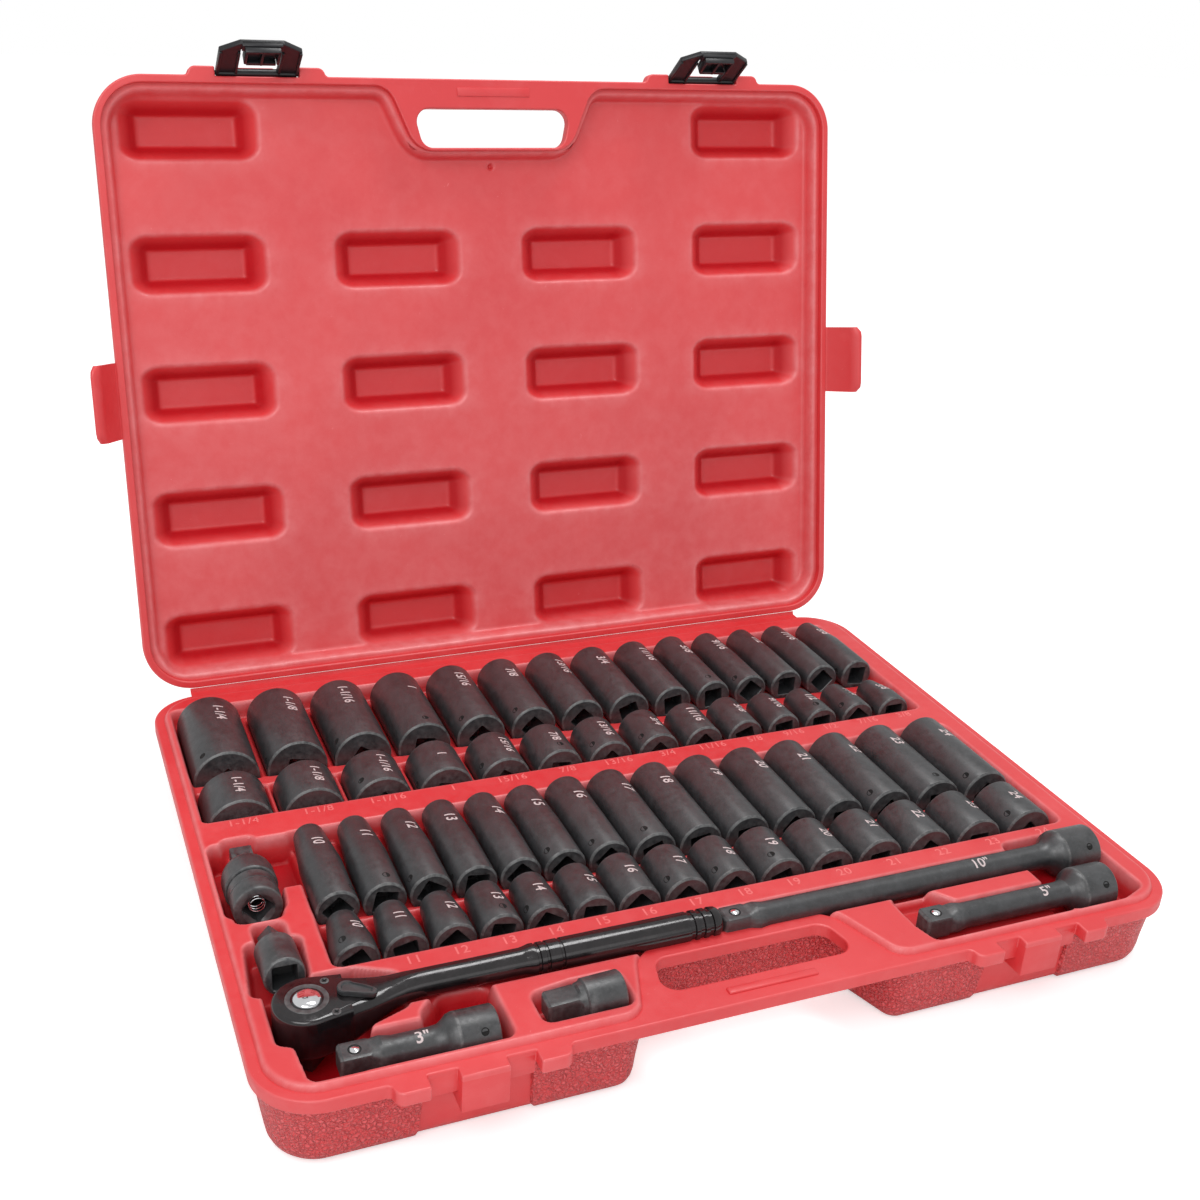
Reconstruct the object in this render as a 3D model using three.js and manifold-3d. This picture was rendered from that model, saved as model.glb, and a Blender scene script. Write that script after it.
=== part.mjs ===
// A 1/2 inch drive impact socket wrench set in a blow-moulded case, lid open.
// Millimetres, +Z up, the front of the case towards -Y, the origin under the middle of the base.
import * as THREE from 'three';
import { mergeVertices } from 'three/addons/utils/BufferGeometryUtils.js';
import Module from 'manifold-3d';

const wasm = await Module();
wasm.setup();

// ---------------------------------------------------------------- driving dimensions

const GAP = 0.3; // between pieces that rest on each other
const SEAT_GAP = 0.4; // between a round tool and the cradle around it

const SIDE_BAND = 21.5; // from the pocket of the longer bars out to the flange's edge
const FRONT_BAND = 11; // from the pockets of the bars out to the front edge
const CORNER_RADIUS = 33;
const BASE_HEIGHT = 48;
const LID_HEIGHT = 36;
const FLANGE_HEIGHT = 8;
const SHELL_INSET = 4; // walls stand in from the flange's edge
const BOTTOM_ROUND = 10;
const RIM_WIDTH = 5; // flat band around the tray
const TRAY_RISE = 3;

const HANDLE_HOLE_WIDTH = 112; // along the grip
const HANDLE_HOLE_REAR_WIDTH = 88;
const HANDLE_HOLE_DEPTH = 27.5;
const HANDLE_HOLE_RADIUS = 8;
const GRIP_WIDTH = 17; // front edge of the case to the hole
const HANDLE_RECESS_WIDTH = 151; // gap between the two pods at the front
const HANDLE_RECESS_REAR_WIDTH = 119;
const HANDLE_RECESS_DEPTH = 49; // in the base
const LID_RECESS_DEPTH = 46.5;
const GRIP_BAR_LENGTH = 53;
const GRIP_BAR_WIDTH = 5;
const GRIP_BAR_RISE = 1;

const HINGE_BEHIND = 5.8; // axis behind the rear edge of the base
const HINGE_ABOVE = 1.1; // axis above the parting plane
const HINGE_LENGTH = 480;
const HINGE_BEAD = 1.2;
const HINGE_STRIP = 1.7;
const LID_OPEN_ANGLE = THREE.MathUtils.degToRad(102.7);

const LID_STEP_WIDTH = 5.5; // ledge inside the rim band
const LID_STEP_DEPTH = 5;
const LID_FIELD_DEPTH = 15.5;
const LID_POCKET = { width: 87, height: 36, radius: 9, depth: 15, draft: 4 };
const LID_POCKET_COLUMNS = [-207, -71, 65.5, 204];
const LID_POCKET_ROWS = [170.8, 85.3, 1.3, -83.2, -166.7];
const SIDE_TAB = { width: 50, centre: 4.8, reach: 18, drop: 22, thickness: 2.4 };

const LATCH_SPACING = 325; // between the middles of the two latches
const LATCH_WIDTH = 53.4;
const LATCH_LENGTH = 33;
const LATCH_BAR_RADIUS = 2.4;
const LATCH_PIN_RADIUS = 1.6;
const LATCH_WINDOW_WIDTH = 26;
const LATCH_WINDOW_END = 27.6;
const LATCH_HOOK_REACH = 7.2; // of the hook that grips under the catch
const LATCH_PIVOT_AHEAD = 1.9; // in front of the lid's edge
const LATCH_SWING = THREE.MathUtils.degToRad(26);
const EAR_WIDTH = 18;
const BASE_EAR_REACH = 7.5;
const LID_EAR_REACH = 5.7;
const CATCH_WIDTH = 24.6;
const CATCH_REACH = 5.5;
const CATCH_HEIGHT = 22.4;
const LATCH_PANEL_HEIGHT = 14;

const RIB_TOP = BASE_HEIGHT - 8; // tops of the ribs between the sockets
const DIVIDER_TOP = BASE_HEIGHT - 5; // between the deep and the shallow row
const DEEP_TOP = BASE_HEIGHT + 12.5; // highest line of every deep socket
const SHALLOW_TOP = BASE_HEIGHT + 10.5;
const DEEP_LENGTH = 76.5;
const SHALLOW_LENGTH = 36.5;
const ROW_CLEARANCE = 0.6;

const DRIVE_SQUARE = 12.7;
const DRIVE_SOCKET = 13;
const DRIVE_DEPTH = 15;
const COLLAR_RISE = 1.4; // of the collar behind an extension's square
const ROUND_STEPS = 12; // sides of a turned tool
const SOCKET_STEPS = 10; // sides of a socket and of its cradle
const CORNER_FINENESS = 0.6; // more gives a rounded corner more facets

const INCH_ROW = {
  wellLeft: -257, wellRight: 245, wellFront: 38, wellRear: 174,
  deepFront: 93, shallowFront: 43, firstX: -234,
  web: () => 4.63,
  sockets: [
    ['1_1-4in', 31.75, 42, 42], ['1_1-8in', 28.6, 39, 39], ['1_1-16in', 27, 38, 38],
    ['1in', 25.4, 36, 36], ['15-16in', 23.8, 34, 34], ['7-8in', 22.2, 32, 32],
    ['13-16in', 20.6, 31, 31], ['3-4in', 19.05, 30, 30], ['11-16in', 17.5, 28, 28],
    ['5-8in', 15.9, 26, 26], ['9-16in', 14.3, 25, 22.5], ['1-2in', 12.7, 25, 21],
    ['7-16in', 11.1, 25, 19.5], ['3-8in', 9.5, 25, 17.5],
  ],
};
const METRIC_ROW = {
  wellLeft: -213.5, wellRight: 247, wellFront: -113, wellRear: 12.5,
  deepFront: -65.5, shallowFront: -109, firstX: -200.5,
  web: (radii) => 1.7 + 0.27 * (radii - 25),
  sockets: [
    ['10mm', 10, 25, 18], ['11mm', 11, 25, 19], ['12mm', 12, 25, 19.5], ['13mm', 13, 25, 21.5],
    ['14mm', 14, 25, 22], ['15mm', 15, 26, 23.5], ['16mm', 16, 26, 26], ['17mm', 17, 28, 28],
    ['18mm', 18, 28, 28], ['19mm', 19, 30, 30], ['20mm', 20, 30, 30], ['21mm', 21, 31, 31],
    ['22mm', 22, 32, 32], ['23mm', 23, 33, 33], ['24mm', 24, 34, 34],
  ],
};

// Ratchet: the middle of its head, with the handle along +X from there.
const RATCHET = {
  x: -234, y: -140.5, top: BASE_HEIGHT + 8.8, headRadius: 17.6, headHeight: 25,
  handleZ: BASE_HEIGHT + 4, handleRadius: 7.4, gripRadius: 8.4, gripFrom: 121, gripTo: 208, length: 227,
  coverThickness: 2, coverEdge: 1.2, coverLength: 30,
  driveRadius: 11.2, anvilLength: 15, buttonRadius: 7.3, buttonHeight: 9, buttonProud: 1.6, buttonStroke: 3,
  leverAt: 19.5, leverRadius: 4.6, leverLength: 16, leverHeight: 3.4, leverPin: 2, leverTurn: 30,
};

// Extension bars: the tip of the male square, its direction along +X, and the turned sizes.
const BAR_GAP = 2; // from the ratchet's handle to the 10 inch bar behind it
const EXTENSION_10 = {
  x: RATCHET.x + RATCHET.length + BAR_GAP, y: -141, z: BASE_HEIGHT + 1.4,
  length: 250, shaft: 7.4, end: 14, endLength: 24, flare: 14,
};
const EXTENSION_5 = {
  x: 104, y: -174, z: BASE_HEIGHT,
  length: 126, shaft: 7.2, end: 13.5, endLength: 21.5, flare: 12,
};
const EXTENSION_3 = {
  x: -227, y: -176, z: BASE_HEIGHT - 3,
  length: 79, shaft: 7.6, end: 12.5, endLength: 21, flare: 12,
};
const END_ROOM = 2.5; // behind the socket ends of the two longer bars
const BARS_END = Math.max(EXTENSION_10.x + EXTENSION_10.length, EXTENSION_5.x + EXTENSION_5.length) + END_ROOM;
const CASE_WIDTH = 2 * (BARS_END + SIDE_BAND);
const FRONT_ROOM = 2.5; // in front of the socket end of the 5 inch bar
const END_SIDE_ROOM = 0.5; // in front of the socket end of the 3 inch bar
const BARS_FRONT = EXTENSION_5.y - EXTENSION_5.end - FRONT_ROOM;
const FRONT_3 = EXTENSION_3.y - EXTENSION_3.end - END_SIDE_ROOM;
const CASE_DEPTH = 2 * (FRONT_BAND - Math.min(BARS_FRONT, FRONT_3 - 1));

// Adapters: tip of the male square, sizes, and how far the socket end is tilted up, in degrees.
const ADAPTER_FRONT = {
  x: -121, y: -174, z: BASE_HEIGHT - 0.3, length: 42, tip: 12.7, tipLength: 17, end: 10.6, tilt: 3,
};
const ADAPTER_LEFT = {
  x: -239.7, y: -71, z: BASE_HEIGHT - 2.5, length: 45, tip: 9.5, tipLength: 13, end: 11, tilt: 8,
};

// Universal joint: the middle of its ball, and distances from there along the tool.
const UJOINT = {
  x: -241.5, y: -22, z: BASE_HEIGHT - 0.8, ball: 9.5, play: 0.95, neck: 5.5, stubFrom: 13.5, stubTo: 26.5,
  collar: 15, collarRear: 10, collarFront: 10.5, sleeve: 13.8, sleeveEnd: 31, tilt: 4.5,
};

// ---------------------------------------------------------------- materials

const redPlastic = new THREE.MeshStandardMaterial({ color: 0xd8404a, roughness: 0.5, metalness: 0 });
const blackPlastic = new THREE.MeshStandardMaterial({ color: 0x232427, roughness: 0.42, metalness: 0 });
const impactSteel = new THREE.MeshStandardMaterial({ color: 0x38353a, roughness: 0.55, metalness: 0.6 });
const polishedBlack = new THREE.MeshStandardMaterial({ color: 0x1c1618, roughness: 0.2, metalness: 0.7 });
const chrome = new THREE.MeshStandardMaterial({ color: 0xd9dadc, roughness: 0.12, metalness: 1 });

// ---------------------------------------------------------------- shapes

// A closed geometry as a solid that can be joined and cut.
function solidOf(shape) {
  if (shape instanceof wasm.Manifold) return shape;
  const plain = new THREE.BufferGeometry();
  plain.setAttribute('position', shape.getAttribute('position'));
  plain.setIndex(shape.index);
  const merged = mergeVertices(plain, 1e-4);
  const corners = merged.index.array;
  const triangles = [];
  for (let i = 0; i < corners.length; i += 3) {
    const [a, b, c] = [corners[i], corners[i + 1], corners[i + 2]];
    if (a !== b && b !== c && c !== a) triangles.push(a, b, c);
  }
  const vertProperties = Float32Array.from(merged.getAttribute('position').array);
  const triVerts = Uint32Array.from(triangles);
  return new wasm.Manifold(new wasm.Mesh({ numProp: 3, vertProperties, triVerts }));
}

const join = (...shapes) => shapes.map(solidOf).reduce((joined, shape) => joined.add(shape));
const cut = (body, ...shapes) => shapes.reduce((left, shape) => left.subtract(solidOf(shape)), solidOf(body));

function addPiece(parent, name, shape, material) {
  const { vertProperties, triVerts } = solidOf(shape).getMesh();
  const geometry = new THREE.BufferGeometry();
  geometry.setAttribute('position', new THREE.BufferAttribute(vertProperties, 3));
  geometry.setIndex(new THREE.BufferAttribute(triVerts, 1));
  geometry.computeVertexNormals();
  const mesh = new THREE.Mesh(geometry, material);
  mesh.name = name;
  parent.add(mesh);
}

// Points of an anticlockwise outline with corners [x, y, radius], its sides moved inwards.
function outline(corners, inset = 0) {
  const count = corners.length;
  const sides = corners.map(([x, y], i) => {
    const [nextX, nextY] = corners[(i + 1) % count];
    const along = new THREE.Vector2(nextX - x, nextY - y).normalize();
    return { start: new THREE.Vector2(x - along.y * inset, y + along.x * inset), along };
  });
  return corners.flatMap(([, , radius = 0], i) => {
    const before = sides[(i + count - 1) % count];
    const after = sides[i];
    const turn = before.along.cross(after.along);
    const reach = after.start.clone().sub(before.start).cross(after.along) / turn;
    const corner = before.start.clone().addScaledVector(before.along, reach);
    if (radius === 0) return [corner];
    const bend = Math.abs(Math.atan2(turn, before.along.dot(after.along)));
    const tangent = Math.max(radius - Math.sign(turn) * inset, 0.3) * Math.tan(bend / 2);
    const from = corner.clone().addScaledVector(before.along, -tangent);
    const to = corner.clone().addScaledVector(after.along, tangent);
    return new THREE.QuadraticBezierCurve(from, corner, to).getPoints(Math.ceil(Math.sqrt(radius) * CORNER_FINENESS));
  });
}

// A closed geometry through outlines of equal point count, each at its own height.
function stack(layers) {
  const count = layers[0].points.length;
  const positions = layers.flatMap(({ points, z }) => points.flatMap(({ x, y }) => [x, y, z]));
  const index = [];
  for (let level = 0; level < layers.length - 1; level += 1) {
    for (let i = 0; i < count; i += 1) {
      const a = level * count + i;
      const b = level * count + ((i + 1) % count);
      index.push(a, b, a + count, b, b + count, a + count);
    }
  }
  const top = (layers.length - 1) * count;
  const bottomFaces = THREE.ShapeUtils.triangulateShape([...layers[0].points], []);
  const topFaces = THREE.ShapeUtils.triangulateShape([...layers.at(-1).points], []);
  bottomFaces.forEach(([a, b, c]) => index.push(c, b, a));
  topFaces.forEach(([a, b, c]) => index.push(top + a, top + b, top + c));
  const geometry = new THREE.BufferGeometry();
  geometry.setAttribute('position', new THREE.Float32BufferAttribute(positions, 3));
  geometry.setIndex(index);
  return geometry;
}

const prism = (corners, low, high, lowInset = 0, highInset = lowInset) => stack([
  { points: outline(corners, lowInset), z: low },
  { points: outline(corners, highInset), z: high },
]);

function rectangle(left, right, front, rear, radius = 0) {
  return [[left, front, radius], [right, front, radius], [right, rear, radius], [left, rear, radius]];
}

const box = (left, right, front, rear, low, high) => prism(rectangle(left, right, front, rear), low, high);

function regular(sides, across, turn = 0) {
  const radius = across / 2 / Math.cos(Math.PI / sides);
  return Array.from({ length: sides }, (_, i) => {
    const angle = turn + ((i + 0.5) * 2 * Math.PI) / sides;
    return [radius * Math.cos(angle), radius * Math.sin(angle)];
  });
}

// A profile of [radius, distance] turned about the Y axis.
function turned(profile, steps = ROUND_STEPS) {
  return new THREE.LatheGeometry(profile.map(([radius, along]) => new THREE.Vector2(radius, along)), steps);
}

const rod = (radius, from, to, steps = ROUND_STEPS) => turned([[0, from], [radius, from], [radius, to], [0, to]], steps);
const risingToY = (geometry) => geometry.rotateX(-Math.PI / 2);
const bar = (corners, from, to) => risingToY(prism(corners, from, to));
const yToX = (geometry) => geometry.rotateZ(-Math.PI / 2);
const yToZ = (geometry) => geometry.rotateX(Math.PI / 2);

// ---------------------------------------------------------------- shared case outlines

const HALF_WIDTH = CASE_WIDTH / 2;
const FRONT = -CASE_DEPTH / 2;
const REAR = CASE_DEPTH / 2;
const PARTING = BASE_HEIGHT;
const LID_LOW = BASE_HEIGHT + GAP;
const TRAY_TOP = BASE_HEIGHT + TRAY_RISE;
const ABOVE = BASE_HEIGHT + 40; // clear of everything that stands in the tray

const edgeOutline = rectangle(-HALF_WIDTH, HALF_WIDTH, FRONT, REAR, CORNER_RADIUS);

// The shell behind the flange: two pods in front with the hand's recess between them.
function shellOutline(recessDepth) {
  const side = HALF_WIDTH - SHELL_INSET;
  const front = FRONT + SHELL_INSET;
  const rear = REAR - SHELL_INSET;
  const wide = HANDLE_RECESS_WIDTH / 2;
  const narrow = HANDLE_RECESS_REAR_WIDTH / 2;
  const recess = FRONT + recessDepth;
  const round = CORNER_RADIUS - SHELL_INSET;
  return [
    [-side, front, round], [-wide, front, 11], [-narrow, recess, 8],
    [narrow, recess, 8], [wide, front, 11], [side, front, round],
    [side, rear, round], [-side, rear, round],
  ];
}

const baseOutline = shellOutline(HANDLE_RECESS_DEPTH);
const lidOutline = shellOutline(LID_RECESS_DEPTH);

// The tray's edge runs behind the handle hole and follows its sloping ends.
function trayOutline(behindGrip) {
  const rear = FRONT + GRIP_WIDTH + HANDLE_HOLE_DEPTH + behindGrip;
  return [
    [-HALF_WIDTH, FRONT, CORNER_RADIUS], [-71.6, FRONT, 20], [-53.4, rear, 14],
    [53.4, rear, 14], [71.6, FRONT, 20], [HALF_WIDTH, FRONT, CORNER_RADIUS],
    [HALF_WIDTH, REAR, CORNER_RADIUS], [-HALF_WIDTH, REAR, CORNER_RADIUS],
  ];
}

const handleHole = (() => {
  const front = FRONT + GRIP_WIDTH;
  const rear = front + HANDLE_HOLE_DEPTH;
  const wide = HANDLE_HOLE_WIDTH / 2;
  const narrow = HANDLE_HOLE_REAR_WIDTH / 2;
  const round = HANDLE_HOLE_RADIUS;
  return [[-wide, front, round], [wide, front, round], [narrow, rear, round], [-narrow, rear, round]];
})();

const latchCentres = [-LATCH_SPACING / 2, LATCH_SPACING / 2];
const earGap = LATCH_WIDTH / 2 + 0.8;

function gripBar(grow, low, high) {
  const halfLength = GRIP_BAR_LENGTH / 2 + grow;
  const middle = FRONT + GRIP_WIDTH / 2 + 1.5;
  const halfWidth = GRIP_BAR_WIDTH / 2 + grow;
  return prism(rectangle(-halfLength, halfLength, middle - halfWidth, middle + halfWidth, 2), low, high);
}

// An ear on the front flange, rounded on its outer side.
function ear(centre, side, reach, low, high) {
  const inner = centre + side * earGap;
  const outer = inner + side * EAR_WIDTH;
  const [left, right] = [Math.min(inner, outer), Math.max(inner, outer)];
  const [leftRound, rightRound] = side < 0 ? [5, 1] : [1, 5];
  return prism([
    [left, FRONT - reach, leftRound], [right, FRONT - reach, rightRound],
    [right, FRONT + 4], [left, FRONT + 4],
  ], low, high);
}

// ---------------------------------------------------------------- sockets

// Places a row of sockets from left to right with a web of plastic between neighbours.
function layOut(row) {
  let x = row.firstX;
  return row.sockets.map(([size, across, drive, nose], i) => {
    if (i > 0) {
      const radii = (row.sockets[i - 1][2] + drive) / 2;
      x += radii + row.web(radii);
    }
    return { size, across, drive: drive / 2, nose: nose / 2, x };
  });
}

// The outside of a socket: square drive end at y = 0, hexagon end at y = length.
function socketOutside({ drive, nose }, length, taperFrom) {
  const body = nose < drive ? [[drive, taperFrom], [nose, length]] : [[drive, length]];
  return turned([[0, 0], [drive, 0], ...body, [0, length]], SOCKET_STEPS);
}

function socketInside({ across }, length, hexDepth) {
  const bore = Math.min(across * 0.43, 8);
  return [
    bar(regular(4, DRIVE_SOCKET), -1, DRIVE_DEPTH),
    bar(regular(6, bore * 2), DRIVE_DEPTH - 1, length - hexDepth + 1),
    bar(regular(6, across), length - hexDepth, length + 1),
  ];
}

const deepKind = { length: DEEP_LENGTH, taperFrom: 42, hexDepth: 38, top: DEEP_TOP };
const shallowKind = { length: SHALLOW_LENGTH, taperFrom: 13, hexDepth: 15, top: SHALLOW_TOP };
const socketPlace = ({ x, drive }, kind, front) => [x, front, kind.top - drive];
const inchSockets = layOut(INCH_ROW);
const metricSockets = layOut(METRIC_ROW);

function cradle(socket, kind, front) {
  const radius = socket.drive + SEAT_GAP;
  const shape = rod(radius, -ROW_CLEARANCE, kind.length + ROW_CLEARANCE, SOCKET_STEPS);
  return shape.translate(...socketPlace(socket, kind, front));
}

function addSocket(parent, name, socket, kind, front) {
  const place = new THREE.Group();
  place.position.set(...socketPlace(socket, kind, front));
  const outside = socketOutside(socket, kind.length, kind.taperFrom);
  addPiece(place, name, cut(outside, ...socketInside(socket, kind.length, kind.hexDepth)), impactSteel);
  parent.add(place);
}

// ---------------------------------------------------------------- case base

function rowWell(row) {
  const shallowRear = row.shallowFront + SHALLOW_LENGTH + ROW_CLEARANCE;
  const deepFront = row.deepFront - ROW_CLEARANCE;
  const whole = prism(rectangle(row.wellLeft, row.wellRight, row.wellFront, row.wellRear, 5), DIVIDER_TOP, ABOVE);
  const shallow = prism(rectangle(row.wellLeft, row.wellRight, row.wellFront, shallowRear, 3), RIB_TOP, ABOVE);
  const deep = prism(rectangle(row.wellLeft, row.wellRight, deepFront, row.wellRear, 3), RIB_TOP, ABOVE);
  return [whole, shallow, deep];
}

// Pockets of the loose tools. Each floor lies a gap below the tool that rests on it.
function toolPockets() {
  const seat = (z, radius) => z - radius - GAP;
  const pocket = (corners, floor, round = 4) => prism(corners.map(([x, y]) => [x, y, round]), floor, ABOVE);
  const r = RATCHET;
  const e10 = EXTENSION_10;
  const e5 = EXTENSION_5;
  const e3 = EXTENSION_3;
  const headFloor = seat(r.top - r.headHeight, r.anvilLength);
  const handleFloor = seat(r.handleZ, r.gripRadius);
  const handleEnd = r.x + r.length + 4;
  // where the pockets of the two longer bars widen for their socket ends
  const wide10 = e10.x + e10.length - e10.endLength - e10.flare - 12.5;
  const wide5 = e5.x + e5.length - e5.endLength - e5.flare - 2;
  const adapterSeat = ({ z, tipLength, end, tilt }) => {
    const angle = THREE.MathUtils.degToRad(tilt);
    return z + (tipLength + 7) * Math.sin(angle) - end * Math.cos(angle) - GAP;
  };
  return [
    // ratchet head and its drive square
    pocket([[-252, -160], [-244, -164], [-242, -189], [-216, -189], [-208, -160], [-186, -152], [-186, -128],
      [-206, -118], [-252, -118]], headFloor),
    // ratchet neck and handle
    pocket([[-212, -150], [handleEnd, -150], [handleEnd, -131.5], [-188, -131.5], [-212, -122]], handleFloor),
    // 3 inch extension, with room for a finger beside its end
    pocket([[-236, FRONT_3], [-166, FRONT_3], [-166, -166], [-236, -166]], seat(e3.z, e3.end)),
    pocket([[-186, FRONT_3], [-143, FRONT_3], [-143, -144], [-166, -144], [-180, -160]], seat(e3.z, e3.end)),
    // front adapter
    pocket([[-124.5, -185.5], [-77, -185.5], [-77, -162], [-104, -162], [-124.5, -165]],
      adapterSeat(ADAPTER_FRONT)),
    // 10 inch extension
    pocket([[e10.x - 3, -150.2], [wide10 + 2, -150.2], [wide10 + 2, -131.5], [e10.x - 3, -131.5]],
      seat(e10.z, e10.shaft + COLLAR_RISE)),
    pocket([[wide10, BARS_FRONT], [BARS_END - 16.5, BARS_FRONT], [BARS_END, BARS_FRONT + 6], [BARS_END, -125.5],
      [wide10, -125.5]],
      seat(e10.z, e10.end)),
    // 5 inch extension, with room for a finger at its tip
    pocket([[e5.x - 6, -151.5], [e5.x - 5.3, -176], [e5.x - 1.5, BARS_FRONT], [wide5 + 1.5, BARS_FRONT],
      [wide5 + 1.5, -165.6], [e5.x + 29, -165.6], [e5.x + 18, -151.5]],
      seat(e5.z, e5.shaft + COLLAR_RISE)),
    pocket([[wide5, BARS_FRONT], [BARS_END - 16.5, BARS_FRONT], [BARS_END, BARS_FRONT + 6], [BARS_END, -158],
      [wide5, -158]],
      seat(e5.z, e5.end)),
    // universal joint: its square, its collar and its sleeve
    pocket([[-251, -6], [-232, -6], [-232, 15], [-251, 15]], BASE_HEIGHT - 9),
    pocket([[-258.5, -37], [-211, -37], [-211, 11], [-258.5, 11]], seat(UJOINT.z, UJOINT.collar)),
    pocket([[-258.5, -58], [-228, -58], [-226, -30], [-258.5, -30]], seat(UJOINT.z, UJOINT.collar), 6),
    // scoop that shows the mouth of the universal joint's sleeve
    pocket([[-255, -63.5], [-230, -63.5], [-230, -54], [-255, -54]], BASE_HEIGHT - 5),
    // left adapter: its square and its body
    pocket([[-248, -92], [-232, -92], [-232, -68], [-248, -68]], BASE_HEIGHT - 11),
    pocket([[-258, -124], [-229, -124], [-226, -83], [-254, -83]], adapterSeat(ADAPTER_LEFT)),
  ];
}

function baseShell() {
  const shell = stack([
    { points: outline(baseOutline, BOTTOM_ROUND * 0.8), z: 0 },
    { points: outline(baseOutline, BOTTOM_ROUND * 0.25), z: BOTTOM_ROUND * 0.3 },
    { points: outline(baseOutline, 0), z: BOTTOM_ROUND },
    { points: outline(baseOutline, 0), z: PARTING - 1 },
  ]);
  const flange = prism(edgeOutline, PARTING - FLANGE_HEIGHT, PARTING);
  const tray = prism(trayOutline(5), PARTING - 1, TRAY_TOP, RIM_WIDTH + 0.7, RIM_WIDTH + 2.2);
  const parts = [shell, flange, tray, gripBar(0, PARTING - 1, PARTING + GRIP_BAR_RISE)];
  latchCentres.forEach((centre) => {
    const catchHalf = CATCH_WIDTH / 2;
    [-1, 1].forEach((side) => parts.push(ear(centre, side, BASE_EAR_REACH, PARTING - FLANGE_HEIGHT - 0.5, PARTING)));
    parts.push(box(centre - catchHalf, centre + catchHalf, FRONT - CATCH_REACH, FRONT + 8,
      PARTING - CATCH_HEIGHT, PARTING));
    parts.push(box(centre - earGap, centre + earGap, FRONT + 1, FRONT + 8, PARTING - LATCH_PANEL_HEIGHT, PARTING));
  });
  return join(...parts);
}

// The strip behind the base ends in the bead that the lid's strip turns around.
function hingeBead() {
  const axisY = REAR + HINGE_BEHIND;
  const strip = box(-HINGE_LENGTH / 2, HINGE_LENGTH / 2, REAR - 5, axisY + HINGE_BEAD,
    PARTING - HINGE_STRIP, PARTING);
  const bead = yToX(rod(HINGE_BEAD, -HINGE_LENGTH / 2, HINGE_LENGTH / 2, 8));
  return join(strip, bead.translate(0, axisY, PARTING + HINGE_ABOVE));
}

function latchFaceCuts(centre) {
  const notch = box(centre - earGap, centre - CATCH_WIDTH / 2, FRONT - 1, FRONT + 1, -1, PARTING + 1);
  const otherNotch = box(centre + CATCH_WIDTH / 2, centre + earGap, FRONT - 1, FRONT + 1, -1, PARTING + 1);
  const panel = box(centre - earGap, centre + earGap, FRONT, FRONT + SHELL_INSET + 2,
    -1, PARTING - CATCH_HEIGHT - 0.01);
  return [notch, otherNotch, panel];
}

function caseBase() {
  const fixed = metricSockets.map((socket) => {
    const place = socketPlace(socket, shallowKind, METRIC_ROW.shallowFront);
    return {
      outside: socketOutside(socket, shallowKind.length, shallowKind.taperFrom).translate(...place),
      inside: socketInside(socket, shallowKind.length, shallowKind.hexDepth).map((s) => s.translate(...place)),
    };
  });
  const hollow = cut(
    baseShell(),
    prism(handleHole, -1, ABOVE),
    ...rowWell(INCH_ROW),
    ...rowWell(METRIC_ROW),
    ...toolPockets(),
    ...inchSockets.map((socket) => cradle(socket, deepKind, INCH_ROW.deepFront)),
    ...inchSockets.map((socket) => cradle(socket, shallowKind, INCH_ROW.shallowFront)),
    ...metricSockets.map((socket) => cradle(socket, deepKind, METRIC_ROW.deepFront)),
    ...latchCentres.flatMap(latchFaceCuts),
  );
  const filled = join(hollow, hingeBead(), ...fixed.map(({ outside }) => outside));
  return cut(filled, ...fixed.flatMap(({ inside }) => inside));
}

// ---------------------------------------------------------------- case lid, drawn closed

function sideTab(side) {
  const { width, centre, reach, drop, thickness } = SIDE_TAB;
  const edge = HALF_WIDTH;
  const lip = 4;
  // Section in X and depth below the parting plane, then swept along Y.
  const section = [
    [edge - 3, -5], [edge + 2, -5], [edge + reach - lip, drop - 4], [edge + reach, drop - 1],
    [edge + reach - 1, drop + thickness - 1], [edge + reach - lip - 2, drop - 1.5],
    [edge + 0.5, -1], [edge - 3, -1],
  ];
  const swept = risingToY(prism(section, 0, width));
  swept.translate(0, centre - width / 2, LID_LOW);
  if (side < 0) swept.rotateZ(Math.PI).translate(0, 2 * centre, 0);
  return swept;
}

function lidPockets() {
  const { width, height, radius, depth, draft } = LID_POCKET;
  const mouth = LID_LOW + LID_FIELD_DEPTH;
  const outerColumns = [LID_POCKET_COLUMNS[0], LID_POCKET_COLUMNS.at(-1)];
  const aheadOfHinge = LID_POCKET_ROWS.slice(0, -1);
  return LID_POCKET_COLUMNS.flatMap((x) => {
    const rows = outerColumns.includes(x) ? LID_POCKET_ROWS : aheadOfHinge;
    return rows.map((y) => {
      const corners = rectangle(x - width / 2, x + width / 2, y - height / 2, y + height / 2, radius);
      return prism(corners, mouth - 1, mouth + depth, -draft / depth, draft);
    });
  });
}

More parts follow.
